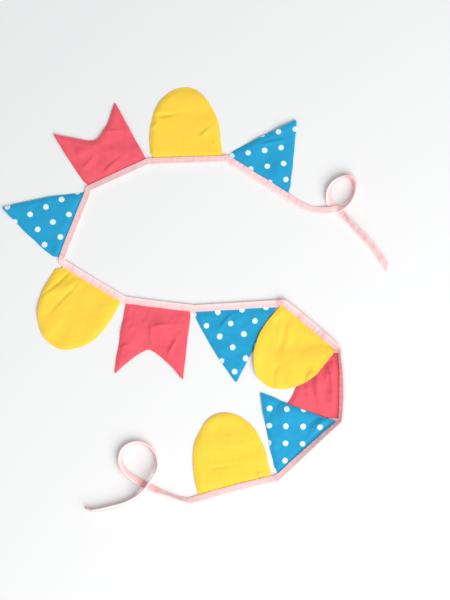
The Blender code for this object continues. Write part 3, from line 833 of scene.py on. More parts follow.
def round_outline(name, width, out):
    """Both side edges of a round pennant at a distance out: straight, then half an ellipse."""
    length, straight, shift, belly = ROUNDS[name]
    t = np.clip((out - straight) / (length - straight), 0, 1)
    full = width / 2 + belly * np.sin(math.pi * np.minimum(out / length, 1.0))
    half = full * np.sqrt(1 - t * t)
    middle = width / 2 + shift * out / length
    return middle - half, middle + half


def swallowtail_outline(name, width, out):
    """Both side edges of a swallowtail at a distance out, each straight to its tip."""
    along_0, out_0, along_1, out_1 = SWALLOWTAILS[name][:4]
    return along_0 * out / out_0, width + (along_1 - width) * out / out_1


def hem_out(name, a):
    """How far out the hem lies at fractions a across.

    A triangle's tip and a swallowtail's two tips are rounded by a square law, and the
    swallowtail's notch is an arch whose depth is a power of the distance from its top.
    """
    if name in TRIANGLES:
        return TRIANGLES[name][1] - APEX_ROUNDING * (2 * a - 1) ** 2
    if name in ROUNDS:
        return ROUNDS[name][0] * HEM_REACH + 0 * a
    _, out_0, _, out_1, notch, place, power = SWALLOWTAILS[name]
    spread = np.where(a < place, place, 1 - place)
    tip = np.where(a < place, out_0, out_1)
    corner = np.clip(1 - np.minimum(a, 1 - a) / TIP_SHARE, 0, 1)
    return notch + (tip - notch) * (np.abs(a - place) / spread) ** power - TIP_ROUNDING * corner**2


def pennant_plan(pennant, a, b, drape):
    """Places along and out at fractions a across and b down the body of a pennant.

    A round one's rows are spaced by a sine, so that they crowd towards its end.
    """
    width = heading_frame(pennant)[3]
    name = pennant.name
    down = np.sin(b * math.pi / 2) if name in ROUNDS else b
    out = drape + (hem_out(name, a) - drape) * down
    outline = triangle_outline if name in TRIANGLES else (
        round_outline if name in ROUNDS else swallowtail_outline)
    left, right = outline(name, width, out)
    sides = SIDES.get(name, (0.0, 0.0, 0.0, 0.0))
    first, last = (sides[i] * (1 - b) + sides[i + 2] * 4 * b * (1 - b) for i in (0, 1))
    left, right = left - first, right + last
    return left + (right - left) * a, out


def bell_ridge(along, out, ends, near, far):
    """A ridge between two points with a bell-shaped section of its own width on each side, and
    how far along it each place lies, from 0 to 1."""
    start, end = np.array(ends[:2]), np.array(ends[2:])
    run = end - start
    x, y = along - start[0], out - start[1]
    t = np.clip((x * run[0] + y * run[1]) / (run @ run), 0, 1)
    distance = np.hypot(x - run[0] * t, y - run[1] * t)
    on_far_side = (y * run[0] - x * run[1]) * np.sign(run[0]) > 0
    return np.exp(-((distance / np.where(on_far_side, far, near)) ** 2)), t


def solid_relief(name, along, out, a, b):
    """The solid's own relief: soft folds and lifted rims, and flat where they are very low."""
    height = 0.0
    for *ends, tall, wide in FOLDS.get(name, ()):
        bell, t = bell_ridge(along, out, ends, wide, wide)
        height = height + tall * bell * (1 - FOLD_FADE * t)
    first_side, first_corner, last_corner, last_side = RIM_LIFTS[name]
    height = height + (first_corner * (1 - a) + last_corner * a) * b**3
    height = height + (first_side * (1 - a) ** 4 + last_side * a**4) * 4 * b * (1 - b)
    return soft_max(0.0, height - LYING_FLAT, LYING_SOFTNESS) - LYING_DROP


def fine_relief(name, along, out, width):
    """Relief finer than the solid's: creases, gathers below the binding and slow waves.

    A gather is a short ridge that runs out from the mouth and dies away.
    """
    wide, narrow = WAVES[PENNANTS[name].cloth]
    height = wide * ripples(along, out, WIDE_WAVE, "warp " + name)
    height = height + narrow * ripples(along, out, NARROW_WAVE, "press " + name)
    bent_along = along + BEND * ripples(along, out, BEND_PITCH, "bend along " + name)
    bent_out = out + BEND * ripples(along, out, BEND_PITCH, "bend out " + name)
    for *ends, tall, near, far in CREASES.get(name, ()):
        bell, t = bell_ridge(bent_along, bent_out, ends, near, far)
        taper = smooth_step(*CREASE_START, t) * (1 - CREASE_FADE * smooth_step(*CREASE_END, t))
        height = height + CREASE_GAIN * tall * bell * taper
    count = round(width / GATHER_PITCH)
    for i, (shift, tall, long, skew, wide) in enumerate(scattered("gathers " + name, count, GATHERS)):
        off = (along - (i + shift) * width / count - skew * out) / wide
        height = height + tall * np.exp(-(off**2) - np.maximum(out, 0) / long)
    return height


def border_distance(points, border):
    """How far each plan point is from a line of segments, and how far along the line that is.

    The nearest point of every segment is its foot, clipped to the segment's ends.
    """
    run = np.diff(border, axis=0)
    lengths = np.linalg.norm(run, axis=1)
    offset = points[:, None] - border[:-1]
    t = np.clip((offset * run).sum(axis=-1) / lengths**2, 0, 1)
    gaps = np.linalg.norm(offset - t[..., None] * run, axis=-1)
    nearest = gaps.argmin(axis=1)
    pick = np.arange(len(points))
    before = np.concatenate([[0.0], np.cumsum(lengths)])[nearest]
    return gaps[pick, nearest], before + t[pick, nearest] * lengths[nearest]


def cover_map(names, sizes):
    """The height that cloth needs over the named pennants, on a square grid in plan.

    Every cell takes the highest point of the cloths in it, then the highest of its neighbours
    within the margin, less the slope past it, plus the gap between layers.
    """
    sheets = [pennant_surface(name, sizes) for name in names]
    tops = np.vstack([sheet.top[sheet.plan[..., 1] > 0] for sheet in sheets])
    low = tops[:, :2].min(axis=0) - 2 * COVER_REACH
    shape = ((tops[:, :2].max(axis=0) + 2 * COVER_REACH - low) / COVER_CELL).astype(int) + 1
    cells = ((tops[:, :2] - low) / COVER_CELL).round().astype(int)
    height = np.full(shape, NO_CLOTH)
    np.maximum.at(height, (cells[:, 0], cells[:, 1]), tops[:, 2])
    needed = np.full(shape, NO_CLOTH)
    reach = round(COVER_REACH / COVER_CELL)
    for i in range(-reach, reach + 1):
        for j in range(-reach, reach + 1):
            away = math.hypot(i, j) * COVER_CELL
            if away <= COVER_REACH:
                drop = COVER_SLOPE * max(0.0, away - COVER_MARGIN) - LAYER_GAP
                needed = np.maximum(needed, np.roll(height, (i, j), axis=(0, 1)) - drop)
    return low, np.maximum(needed, NOTHING_NEEDED)


def read_map(low, values, x, y):
    """Values of a square grid between its cells, by mixing the four around each place."""
    u, v = (
        np.clip((place - low[axis]) / COVER_CELL, 0, values.shape[axis] - JUST_OVER_ONE)
        for axis, place in ((0, x), (1, y)))
    i, j = u.astype(int), v.astype(int)
    p, q = u - i, v - j
    near = values[i, j] * (1 - q) + values[i, j + 1] * q
    far = values[i + 1, j] * (1 - q) + values[i + 1, j + 1] * q
    return near * (1 - p) + far * p


Sheet = namedtuple("Sheet", "top bottom plan seam area length")


@functools.cache
def pennant_surface(name, sizes):
    """A pennant's two faces over fractions across and down, as grids of points.

    Its head lies flat in the slot, a cubic brings the cloth down from the mouth, and the body
    maps the grid into the outline. Height is the solid's relief with the fine one, and no lower
    than the cloths below need. The faces part from the mid-surface by half the thickness, which
    falls as a quarter circle to nothing at the border and is greater over the seam allowance.
    """
    pennant = PENNANTS[name]
    start, along_way, out_way, width = heading_frame(pennant)
    a = edge_spaced(width, CLOTH_STEP) / width
    plan, direction, lean = heading_band(pennant, a, sizes.tape_width)
    stations = stand(plan, direction, lean, hang(lean), np.ones_like(a), sizes)
    across = np.linspace(-HEAD_INSET, MOUTH, HEAD_ROWS)[:, None, None] + sizes.tape_width / 2
    head = stations.middle + stations.across * across
    mouth = head[-1]
    mouth_height = mouth[:, 2] - sizes.cloth_thickness / 2
    drape = DRAPE_LENGTH + DRAPE_PER_HEIGHT * mouth_height
    body_length = hem_out(name, np.array([0.0, 0.5])).max()
    b = edge_spaced(body_length, CLOTH_STEP)[len(EDGE_STEPS) - 1 :] / body_length
    b = ((b - b[0]) / (b[-1] - b[0]))[:, None]
    foot_along, foot_out = pennant_plan(pennant, a, 0.0, drape)
    foot_plan = start + along_way * foot_along[:, None] + out_way * foot_out[:, None]
    level = sizes.cloth_thickness / 2
    foot_height = solid_relief(name, foot_along, foot_out, a, 0.0) + level
    foot = np.column_stack([foot_plan, foot_height])
    t = np.linspace(0, 1, FALL_ROWS)[1:, None, None]
    leaving = stations.across * (LEAVING + LEAVING_PER_HEIGHT * mouth_height)[:, None]
    arriving = np.append(out_way, 0.0) * drape[:, None] * LANDING
    fall = cubic_between(mouth, leaving, foot, arriving, t)
    body_along, body_out = pennant_plan(pennant, a, b[1:], drape)
    body_plan = start + along_way * body_along[..., None] + out_way * body_out[..., None]
    body_height = solid_relief(name, body_along, body_out, a, b[1:]) + level
    body = np.dstack([body_plan, body_height])
    middle = np.concatenate([head, fall, body])
    own = middle[..., :2] - start
    along, out = own @ along_way, own @ out_way
    free = np.concatenate([np.zeros(len(head)), t[:, 0, 0], np.ones(len(body))])[:, None]
    grip = smooth_step(0.0, 1.0, free)
    middle[..., 2] += grip * fine_relief(name, along, out, width)
    for axis, label in ((0, "wander x "), (1, "wander y ")):
        middle[..., axis] += grip * WANDER * ripples(along, out, WANDER_PITCH, label + name)
    if name in COVERS:
        needed = read_map(*cover_map(COVERS[name], sizes), middle[..., 0], middle[..., 1])
        covered = soft_max(middle[..., 2], needed + level, COVER_SOFTNESS)
        middle[..., 2] += (covered - middle[..., 2]) * (free > 0)
    border = np.concatenate([middle[:, 0], middle[-1, 1:-1], middle[::-1, -1]])[:, :2]
    apart = np.linalg.norm(np.diff(border, axis=0), axis=1) > SAME_PLACE
    border = border[np.concatenate([apart, [True]])]
    edge, place = border_distance(middle[..., :2].reshape(-1, 2), border)
    edge, place = edge.reshape(along.shape), place.reshape(along.shape)
    edge[:, [0, -1]] = 0
    edge[[0, -1]] = 0
    allowance = smooth_step(*SEAM_RISE, edge) * (1 - smooth_step(*SEAM_FALL, edge - SEAM_ALLOWANCE))
    seam_waves = SEAM_WAVE * ripples(place, edge, SEAM_WAVE_PITCH, "seam " + name)
    middle[..., 2] += grip * seam_waves * np.exp(-((edge / SEAM_ALLOWANCE) ** 2))
    middle[..., 2] += grip * LOFT * smooth_step(LOFT_START, LOFT_REACH, edge)
    lowest = soft_max(middle[..., 2], level + FLOOR_GAP, FLOOR_SOFTNESS)
    middle[..., 2] = np.where(free > 0, lowest, middle[..., 2])
    rounding = np.sqrt(1 - np.clip(1 - edge / EDGE_RADIUS, 0, 1) ** 2)
    half = sizes.cloth_thickness / 2 * rounding * (1 + SEAM_THICKENING * allowance * grip)
    normal = unit(np.cross(np.gradient(middle, axis=0), np.gradient(middle, axis=1)))
    offset = normal * half[..., None]
    flat_steps = np.linalg.norm(np.diff(middle, axis=0), axis=-1)
    widths = np.linalg.norm(np.diff(middle, axis=1), axis=-1).sum(axis=1)
    area = (flat_steps.mean(axis=1) * (widths[1:] + widths[:-1]) / 2).sum()
    return Sheet(
        middle + offset, middle - offset, np.dstack([along, out]), allowance, area,
        flat_steps.sum(axis=0).max())


def quad_grid(rows, columns):
    """The four corners of every cell of a grid of points, rows first."""
    first = np.arange(rows - 1)[:, None] * columns + np.arange(columns - 1)
    return np.stack([first, first + columns, first + columns + 1, first + 1], -1).reshape(-1, 4)


def new_object(name, data):
    """An object for a mesh, a light or a camera, linked into the scene."""
    item = bpy.data.objects.new(name, data)
    bpy.context.scene.collection.objects.link(item)
    return item


def add_mesh(name, points, faces, material, uv=None, shade=None):
    """Make a smooth-shaded object in the frame from points in table millimetres."""
    points = points + np.append(TABLE_ORIGIN, 0.0)
    mesh = bpy.data.meshes.new(name)
    mesh.from_pydata((points * MM).tolist(), [], faces)
    if uv is not None:
        layer = mesh.uv_layers.new(name="grain")
        layer.data.foreach_set("uv", np.asarray(uv, np.float32).ravel())
    if shade is not None:
        layer = mesh.attributes.new("shade", "FLOAT", "POINT")
        layer.data.foreach_set("value", np.asarray(shade, np.float32).ravel())
    mesh.materials.append(material)
    mesh.shade_smooth()
    mesh.update()
    return new_object(name, mesh)


def grain_places(name, plan):
    """A pennant's cloth coordinates in metres, from its own plan, turned with the grain.

    On dotted cloth the origin is the middle of a dot and the axes run along its rows.
    """
    pennant = PENNANTS[name]
    start, along_way, out_way, _ = heading_frame(pennant)
    straight = math.degrees(math.atan2(along_way[1], along_way[0]))
    x, y, turn, row, column = DOT_PLACES.get(name, (0.0, 0.0, straight, 1.0, 1.0))
    place = start + along_way * plan[..., :1] + out_way * plan[..., 1:] - np.array([x, y])
    cosine, sine = math.cos(math.radians(turn)), math.sin(math.radians(turn))
    return place @ np.array([[cosine, -sine], [sine, cosine]]) / np.array([row, column]) * MM


def make_pennant(name, sizes, colours):
    """Close a pennant's two faces along their shared border and stand it for its solid."""
    pennant = PENNANTS[name]
    sheet = pennant_surface(name, sizes)
    rows, columns = sheet.seam.shape
    top_index = np.arange(rows * columns).reshape(rows, columns)
    bottom_index = top_index.copy()
    inner = (rows - 2) * (columns - 2)
    bottom_index[1:-1, 1:-1] = rows * columns + np.arange(inner).reshape(rows - 2, columns - 2)
    points = np.concatenate([
        sheet.top.reshape(-1, 3), sheet.bottom[1:-1, 1:-1].reshape(-1, 3)])
    cells = quad_grid(rows, columns)
    faces = np.concatenate([
        top_index.ravel()[cells], bottom_index.ravel()[cells[:, ::-1]]])
    grain = grain_places(name, sheet.plan)
    grain = np.concatenate([grain.reshape(-1, 2), grain[1:-1, 1:-1].reshape(-1, 2)])
    seam = np.concatenate([sheet.seam.ravel(), sheet.seam[1:-1, 1:-1].ravel()])
    material = cotton_material(pennant.cloth, colours, sizes)
    item = add_mesh(name + "_cloth", points, faces.tolist(), material, grain[faces], seam)
    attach(item, "root")
    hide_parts(name)
    return item


def make_binding(sizes, colours):
    """Close the binding's surface round its profile and cap both ends."""
    points, profile = binding_surface(sizes)
    _, distance, starts = binding_route(sizes)
    rows, columns = points.shape[:2]
    index = np.arange(rows * columns).reshape(rows, columns)
    wrapped = np.hstack([index, index[:, :1]])
    cells = quad_grid(rows, columns + 1)
    faces = wrapped.ravel()[cells][:, ::-1]
    girth = np.linalg.norm(np.diff(profile[0], axis=0, append=profile[0][:1]), axis=1)
    girth = np.concatenate([[0.0], np.cumsum(girth)])
    places = np.stack(np.broadcast_arrays(distance[:, None], girth), -1).reshape(-1, 2) * MM
    caps = [index[0].tolist(), index[-1][::-1].tolist()]
    cap_places = np.concatenate([profile[0], profile[-1][::-1]]) * MM
    uv = np.concatenate([places[cells[:, ::-1]].reshape(-1, 2), cap_places])
    material = cotton_material("pink_tape", colours, sizes)
    # Painted light for the tape: a painted highlight on its fold and painted shade in its folds.
    shade = tape_painted_light(distance, profile[..., 0], starts, sizes)
    item = add_mesh(
        "binding_tape", points.reshape(-1, 3), faces.tolist() + caps, material, uv, shade)
    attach(item, "root")
    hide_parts("binding")
    return item


def stitch_shape(length, radius):
    """A short thread: a tube of six sides whose ends are drawn in and dip into the cloth."""
    x, girth, dip = STITCH_RINGS * np.array([[length], [radius], [radius]])
    angle = np.arange(THREAD_SIDES) * 2 * math.pi / THREAD_SIDES
    y = girth[:, None] * np.cos(angle)
    z = girth[:, None] * np.sin(angle) + dip[:, None]
    points = np.stack([np.broadcast_to(x[:, None], y.shape), y, z], -1).reshape(-1, 3)
    ring = np.arange(len(points)).reshape(y.shape)
    wrapped = np.hstack([ring, ring[:, :1]])
    faces = wrapped.ravel()[quad_grid(*wrapped.shape)].tolist()
    return points, faces, [ring[0][::-1].tolist(), ring[-1].tolist()]


def make_stitching(sizes, colours):
    """Lay a row of stitches in the trough on both faces of the binding."""
    points, profile = binding_surface(sizes)
    route, distance, _ = binding_route(sizes)
    line = np.abs(profile[0, :, 0] - (sizes.tape_width / 2 - STITCH_INSET))
    shape, sides, caps = stitch_shape(sizes.stitch_length, sizes.thread_thickness / 2)
    places = np.arange(sizes.stitch_pitch, distance[-1] - LAST_STITCH, sizes.stitch_pitch)
    all_points, all_faces = [], []
    for sign in (1, -1):
        on_face = np.where(np.sign(profile[0, :, 1]) == sign, line, np.inf).argmin()

        def along_route(values):
            return np.column_stack([np.interp(places, distance, column) for column in values.T])

        centre = along_route(points[:, on_face])
        forward = unit(along_route(route.forward))
        up = unit(along_route(route.normal)) * sign
        side = np.cross(up, forward)
        placed = (
            centre[:, None]
            + forward[:, None] * shape[None, :, :1]
            + side[:, None] * shape[None, :, 1:2]
            + up[:, None] * (shape[None, :, 2:] + STITCH_STAND * sizes.thread_thickness))
        placed[..., 2] = np.maximum(placed[..., 2], RESTING)
        first = sum(len(block) for block in all_points)
        all_points.append(placed.reshape(-1, 3))
        starts = first + len(shape) * np.arange(len(places))[:, None, None]
        for group in (sides, caps):
            all_faces += (starts + np.array(group)).reshape(-1, len(group[0])).tolist()
    material = thread_material(colours)
    item = add_mesh("binding_stitching", np.vstack(all_points), all_faces, material)
    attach(item, "root")
    return item


def opaque(colour, change=lambda channel: channel):
    """A colour's three channels, each changed, and full opacity."""
    return (*(change(channel) for channel in colour[:3]), 1.0)


class Nodes:
    """Adds nodes to a tree and links them, taking sockets or plain values as inputs."""

    def __init__(self, tree):
        self.tree = tree
        self.count = 0

    def add(self, kind, inputs=None, **settings):
        """A new node with its settings and inputs, placed beside the last one."""
        node = self.tree.nodes.new(kind)
        row, column = divmod(self.count, NODES_A_ROW)
        node.location = (column * NODE_WIDTH, -row * NODE_HEIGHT)
        self.count += 1
        for key, value in settings.items():
            setattr(node, key, value)
        for key, value in (inputs or {}).items():
            self.feed(node.inputs[key], value)
        return node

    def feed(self, socket, value):
        """Link another node's socket to an input, or set the input's own value."""
        if isinstance(value, bpy.types.NodeSocket):
            self.tree.links.new(value, socket)
        else:
            socket.default_value = value

    def finish(self, shader, colour, roughness, height, strength, depth):
        """Give a shader its colour, its roughness and the bump of a height."""
        bump = self.add("ShaderNodeBump", {"Height": height, "Strength": strength, "Distance": depth})
        self.feed(shader.inputs["Base Color"], colour)
        self.feed(shader.inputs["Roughness"], roughness)
        self.feed(shader.inputs["Normal"], bump.outputs["Normal"])

    def math(self, operation, *values):
        """The result of a Math node on one or more values."""
        return self.add(
            "ShaderNodeMath", dict(enumerate(values)), operation=operation).outputs[0]

    def vector(self, operation, *values, scale=None):
        """The result of a Vector Math node."""
        inputs = dict(enumerate(values))
        if scale is not None:
            inputs["Scale"] = scale
        node = self.add("ShaderNodeVectorMath", inputs, operation=operation)
        return node.outputs["Value" if operation == "LENGTH" else "Vector"]

    def noise(self, place, scale, detail=2.0, roughness=0.5):
        """A noise texture's value at a place."""
        return self.add("ShaderNodeTexNoise", {
            "Vector": place, "Scale": scale, "Detail": detail, "Roughness": roughness,
        }).outputs["Fac"]

    def spread(self, value, low, high, to_low, to_high, smooth=False):
        """A value taken from one range to another."""
        return self.add("ShaderNodeMapRange", {
            "Value": value, "From Min": low, "From Max": high, "To Min": to_low, "To Max": to_high,
        }, interpolation_type="SMOOTHSTEP" if smooth else "LINEAR").outputs["Result"]

    def mix(self, factor, first, second):
        """Two colours mixed by a factor. The node holds the colour sockets after its others."""
        inputs = {MIX_FACTOR: factor, MIX_FIRST: first, MIX_SECOND: second}
        node = self.add("ShaderNodeMix", inputs, data_type="RGBA")
        return node.outputs[MIX_RESULT]


def group_tree(name, inputs, outputs):
    """A new node group with float and vector sockets, and its two end nodes."""
    tree = bpy.data.node_groups.new(name, "ShaderNodeTree")
    for socket, kind in inputs:
        tree.interface.new_socket(socket, in_out="INPUT", socket_type=kind)
    for socket, kind in outputs:
        tree.interface.new_socket(socket, in_out="OUTPUT", socket_type=kind)
    nodes = Nodes(tree)
    return tree, nodes, nodes.add("NodeGroupInput"), nodes.add("NodeGroupOutput")


def plain_weave_group():
    """Over-and-under threads as height, and the uneven thickness of the threads as shade.

    The height is the product of two sines, one along each thread, and the shade is noise drawn
    out along both thread directions.
    """
    if "plain_weave" in bpy.data.node_groups:
        return bpy.data.node_groups["plain_weave"]
    tree, nodes, start, end = group_tree(
        "plain_weave",
        (("Cloth Place", "NodeSocketVector"), ("Thread Pitch", "NodeSocketFloat")),
        (("Height", "NodeSocketFloat"), ("Shade", "NodeSocketFloat")))
    place, pitch = start.outputs["Cloth Place"], start.outputs["Thread Pitch"]
    turns = nodes.math("DIVIDE", 2 * math.pi, pitch)
    threads = nodes.vector("SCALE", place, scale=turns)
    parts = nodes.add("ShaderNodeSeparateXYZ", {"Vector": threads})
    crossing = nodes.math(
        "MULTIPLY",
        nodes.math("SINE", parts.outputs["X"]), nodes.math("SINE", parts.outputs["Y"]))
    slubs = [
        nodes.noise(nodes.vector("MULTIPLY", threads, stretch), SLUB_SCALE, 1.0)
        for stretch in ((SLUB_STRETCH, 1.0, 1.0), (1.0, SLUB_STRETCH, 1.0))]
    slub = nodes.math("MULTIPLY", nodes.math("ADD", *slubs), 0.5)
    height = nodes.math("MULTIPLY_ADD", crossing, CROSSING_HEIGHT, slub)
    nodes.feed(end.inputs["Height"], height)
    nodes.feed(end.inputs["Shade"], slub)
    return tree


def cloth_wear_group():
    """The soft, cloudy unevenness of washed cloth, from its place in the object."""
    if "washed_cloth" in bpy.data.node_groups:
        return bpy.data.node_groups["washed_cloth"]
    tree, nodes, start, end = group_tree(
        "washed_cloth", (("Object Place", "NodeSocketVector"),), (("Cloud", "NodeSocketFloat"),))
    wide, fine = (
        nodes.noise(start.outputs["Object Place"], scale, detail) for scale, detail in CLOUDS)
    cloud = nodes.math(
        "MULTIPLY_ADD", fine, FINE_CLOUDS, nodes.math("MULTIPLY", wide, 1 - FINE_CLOUDS))
    nodes.feed(end.inputs["Cloud"], cloud)
    return tree


def dot_mask(nodes, place, sizes):
    """One inside the round dots of a square lattice, with edges as uneven as print.

    The place is divided by the pitch, its whole part is dropped, and the distance from the
    cell's middle is compared with the dot's radius.
    """
    pitch, radius = sizes.dot_pitch * MM, sizes.dot_diameter * MM / 2
    cells = nodes.vector("ADD", nodes.vector("SCALE", place, scale=1 / pitch), (0.5, 0.5, 0.0))
    inside = nodes.vector("SUBTRACT", nodes.vector("FRACTION", cells), (0.5, 0.5, 0.0))
    distance = nodes.math("MULTIPLY", nodes.vector("LENGTH", inside), pitch)
    rough = nodes.spread(
        nodes.noise(place, PRINT_SCALE, 2.0), *THREAD_SPAN, -PRINT_UNEVEN, PRINT_UNEVEN)
    uneven = nodes.math("ADD", distance, rough)
    return nodes.spread(uneven, radius - PRINT_SOFT, radius + PRINT_SOFT, 1.0, 0.0, smooth=True)


def new_material(name):
    """A material, the adder of its nodes and its shader."""
    material = bpy.data.materials.new(name)
    material.use_nodes = True
    return material, Nodes(material.node_tree), material.node_tree.nodes["Principled BSDF"]


def cotton_material(slot, colours, sizes):
    """Woven cotton in a slot's colour: uneven threads, washed clouds, and dots where it has them."""
    name = slot + "_weave"
    if name in bpy.data.materials:
        return bpy.data.materials[name]
    material, nodes, shader = new_material(name)
    colour = opaque(getattr(colours, slot))
    place = nodes.add("ShaderNodeUVMap", uv_map="grain").outputs["UV"]
    body = nodes.add("ShaderNodeTexCoord").outputs["Object"]
    weave = nodes.add(
        "ShaderNodeGroup", {"Cloth Place": place, "Thread Pitch": sizes.thread_pitch * MM},
        node_tree=plain_weave_group())
    wear = nodes.add("ShaderNodeGroup", {"Object Place": body}, node_tree=cloth_wear_group())
    deep = opaque(colour, lambda channel: channel**DEEP_POWER)
    light = opaque(colour, lambda channel: min(1.0, channel * LIGHT_GAIN + LIGHT_RISE))
    thread_tint = nodes.spread(weave.outputs["Shade"], *THREAD_SPAN, 0.0, THREAD_TINT)
    shown = nodes.mix(thread_tint, light, deep)
    clouds = nodes.spread(wear.outputs["Cloud"], *CLOUD_SPAN, 0.0, CLOUD_TINT)
    shown = nodes.mix(clouds, shown, colour)
    if slot == "blue_dotted_cotton":
        dots = nodes.math("MULTIPLY", dot_mask(nodes, place, sizes), PRINT_COVER)
        shown = nodes.mix(dots, shown, opaque(colours.dot))
    shade = nodes.add("ShaderNodeAttribute", attribute_name="shade").outputs["Fac"]
    # On the tape the shade attribute paints light: a painted highlight on the fold and painted shade
    # in its folds and crossings.
    if slot == "pink_tape":
        pale = nodes.spread(shade, 0.0, 1.0, 0.0, 1.0)
        depth = nodes.spread(shade, 0.0, -1.0, 0.0, 1.0)
        shown = nodes.mix(pale, shown, opaque(colours.pale_fold))
        shown = nodes.mix(depth, shown, opaque(colours.deep_fold))
    else:
        shown = nodes.mix(nodes.math("MULTIPLY", shade, SEAM_TINT), shown, deep)
    roughness = nodes.spread(weave.outputs["Shade"], *THREAD_SPAN, *COTTON_ROUGHNESS)
    nodes.finish(shader, shown, roughness, weave.outputs["Height"], *WEAVE_BUMP)
    for socket, value in COTTON_SURFACE.items():
        shader.inputs[socket].default_value = value
    material.diffuse_color = colour
    return material


def thread_material(colours):
    """Twisted sewing thread: two plies as slanting bands, a little glossier than the cloth."""
    material, nodes, shader = new_material("pink_thread")
    body = nodes.add("ShaderNodeTexCoord").outputs["Object"]
    parts = nodes.add("ShaderNodeSeparateXYZ", {"Vector": body})
    slant = nodes.math("ADD", parts.outputs["X"], nodes.math("ADD", *(
        parts.outputs[axis] for axis in "YZ")))
    plies = nodes.math("SINE", nodes.math("MULTIPLY", slant, PLY_TURNS))
    fuzz = nodes.noise(body, FUZZ_SCALE, 1.0)
    shade = nodes.spread(nodes.math("ADD", plies, fuzz), -1.0, 2.0, 0.0, 1.0)
    thread = opaque(colours.thread)
    dark = opaque(colours.thread, lambda channel: channel * DARK_PLY)
    roughness = nodes.spread(fuzz, 0.0, 1.0, *THREAD_ROUGHNESS)
    nodes.finish(shader, nodes.mix(shade, dark, thread), roughness, plies, *PLY_BUMP)
    material.diffuse_color = thread
    return material


def floor_material(colours):
    """A matt pale floor with the faintest unevenness."""
    material, nodes, shader = new_material("pale_floor")
    body = nodes.add("ShaderNodeTexCoord").outputs["Object"]
    cloud = nodes.spread(nodes.noise(body, *FLOOR_CLOUDS), *THREAD_SPAN, 0.0, 1.0)
    darker = opaque(colours.floor, lambda channel: channel * FLOOR_SHADE)
    nodes.feed(shader.inputs["Base Color"], nodes.mix(cloud, opaque(colours.floor), darker))
    for socket, value in FLOOR_SURFACE.items():
        shader.inputs[socket].default_value = value
    return material


def add_key_light(stage, target):
    """A large square light that stands off from the view's middle and faces it."""
    data = bpy.data.lights.new("key_light", "AREA")
    data.size = stage.key_size
    data.energy = stage.key_power
    data.color = KEY_COLOUR
    azimuth, elevation = stage.key_azimuth, stage.key_elevation
    level = math.cos(elevation)
    way = Vector((level * math.cos(azimuth), level * math.sin(azimuth), math.sin(elevation)))
    light = new_object("key_light", data)
    light.location = target + way.normalized() * stage.key_distance
    light.rotation_euler = way.to_track_quat("Z", "Y").to_euler()


def make_stage(stage, colours):
    """The floor, the light and a camera that looks straight down."""
    mesh = bpy.data.meshes.new("floor")
    corners = [
        (x * FLOOR_SPAN, y * FLOOR_SPAN, 0) for x, y in ((-1, -1), (1, -1), (1, 1), (-1, 1))]
    mesh.from_pydata(corners, [], [(0, 1, 2, 3)])
    mesh.materials.append(floor_material(colours))
    floor = new_object("floor", mesh)
    add_key_light(stage, Vector((stage.view_x, stage.view_y, 0.0)))
    world = bpy.data.worlds.new("studio")
    bpy.context.scene.world = world
    world.use_nodes = True
    background = world.node_tree.nodes["Background"]
    background.inputs["Color"].default_value = FILL_COLOUR
    background.inputs["Strength"].default_value = stage.fill_strength
    data = bpy.data.cameras.new("camera")
    data.sensor_fit = "HORIZONTAL"
    data.sensor_width = SENSOR_WIDTH
    data.lens = SENSOR_WIDTH * stage.camera_height / stage.view_width
    data.clip_end = FURTHEST
    camera = new_object("camera", data)
    camera.location = (stage.view_x, stage.view_y, stage.camera_height)
    bpy.context.scene.camera = camera
    bpy.context.scene.view_settings.view_transform = "Standard"


def metres(name, description, value):
    """A length property whose default is given in metres."""
    return FloatProperty(name=name, description=description, default=value, unit="LENGTH")


def millimetres(name, description, value):
    """A length property whose default is given in millimetres."""
    return metres(name, description, value * MM)


def degrees(name, description, value):
    """An angle property whose default is given in degrees."""
    return FloatProperty(
        name=name, description=description, default=math.radians(value), subtype="ANGLE")


def tint(name, description, value):
    """A colour property in linear values."""
    return FloatVectorProperty(
        name=name, description=description, default=value, size=3, subtype="COLOR",
        min=0.0, max=1.0)


class BuntingSizes(bpy.types.PropertyGroup):
    """Sizes that a user would change."""

    tape_width: millimetres("Tape width", "Width of the folded binding", 12.5)
    tape_thickness: millimetres("Tape thickness", "Thickness of the binding at a heading", 3.2)
    cloth_thickness: millimetres("Cloth thickness", "Thickness of a pennant", 0.95)
    thread_thickness: millimetres("Thread thickness", "Thickness of the sewing thread", 0.4)
    stitch_length: millimetres("Stitch length", "Length of one stitch", 2.3)
    stitch_pitch: millimetres("Stitch pitch", "From one stitch to the next", 2.9)
    thread_pitch: millimetres("Thread pitch", "From one woven thread to the next but one", 0.7)
    dot_diameter: millimetres("Dot diameter", "Diameter of a printed dot", 9.4)
    dot_pitch: millimetres("Dot pitch", "From one printed dot to the next", 28.6)


class BuntingColours(bpy.types.PropertyGroup):
    """Colours that a user would change."""

    coral_cotton: tint("Coral", "Colour of the swallowtails", (0.82, 0.105, 0.145))
    yellow_cotton: tint("Yellow", "Colour of the round pennants", (0.92, 0.615, 0.055))
    blue_dotted_cotton: tint("Blue", "Colour of the triangles", (0.010, 0.335, 0.590))
    pink_tape: tint("Pink", "Colour of the binding", (0.95, 0.615, 0.615))
    # Painted highlight: the lighter colour painted on the binding's fold where light catches it.
    pale_fold: tint("Pale fold", "Colour of the binding's rubbed fold", (0.95, 0.74, 0.73))
    # Painted shade: the deeper pink painted where the binding lies in shade, in its folds and
    # crossings.
    deep_fold: tint("Deep fold", "Colour of the binding deep in its folds", (0.90, 0.38, 0.41))
    dot: tint("Dot", "Colour of the printed dots", (0.78, 0.90, 0.90))
    thread: tint("Thread", "Colour of the stitching", (0.90, 0.60, 0.62))
    floor: tint("Floor", "Colour of the floor", (0.83, 0.83, 0.835))


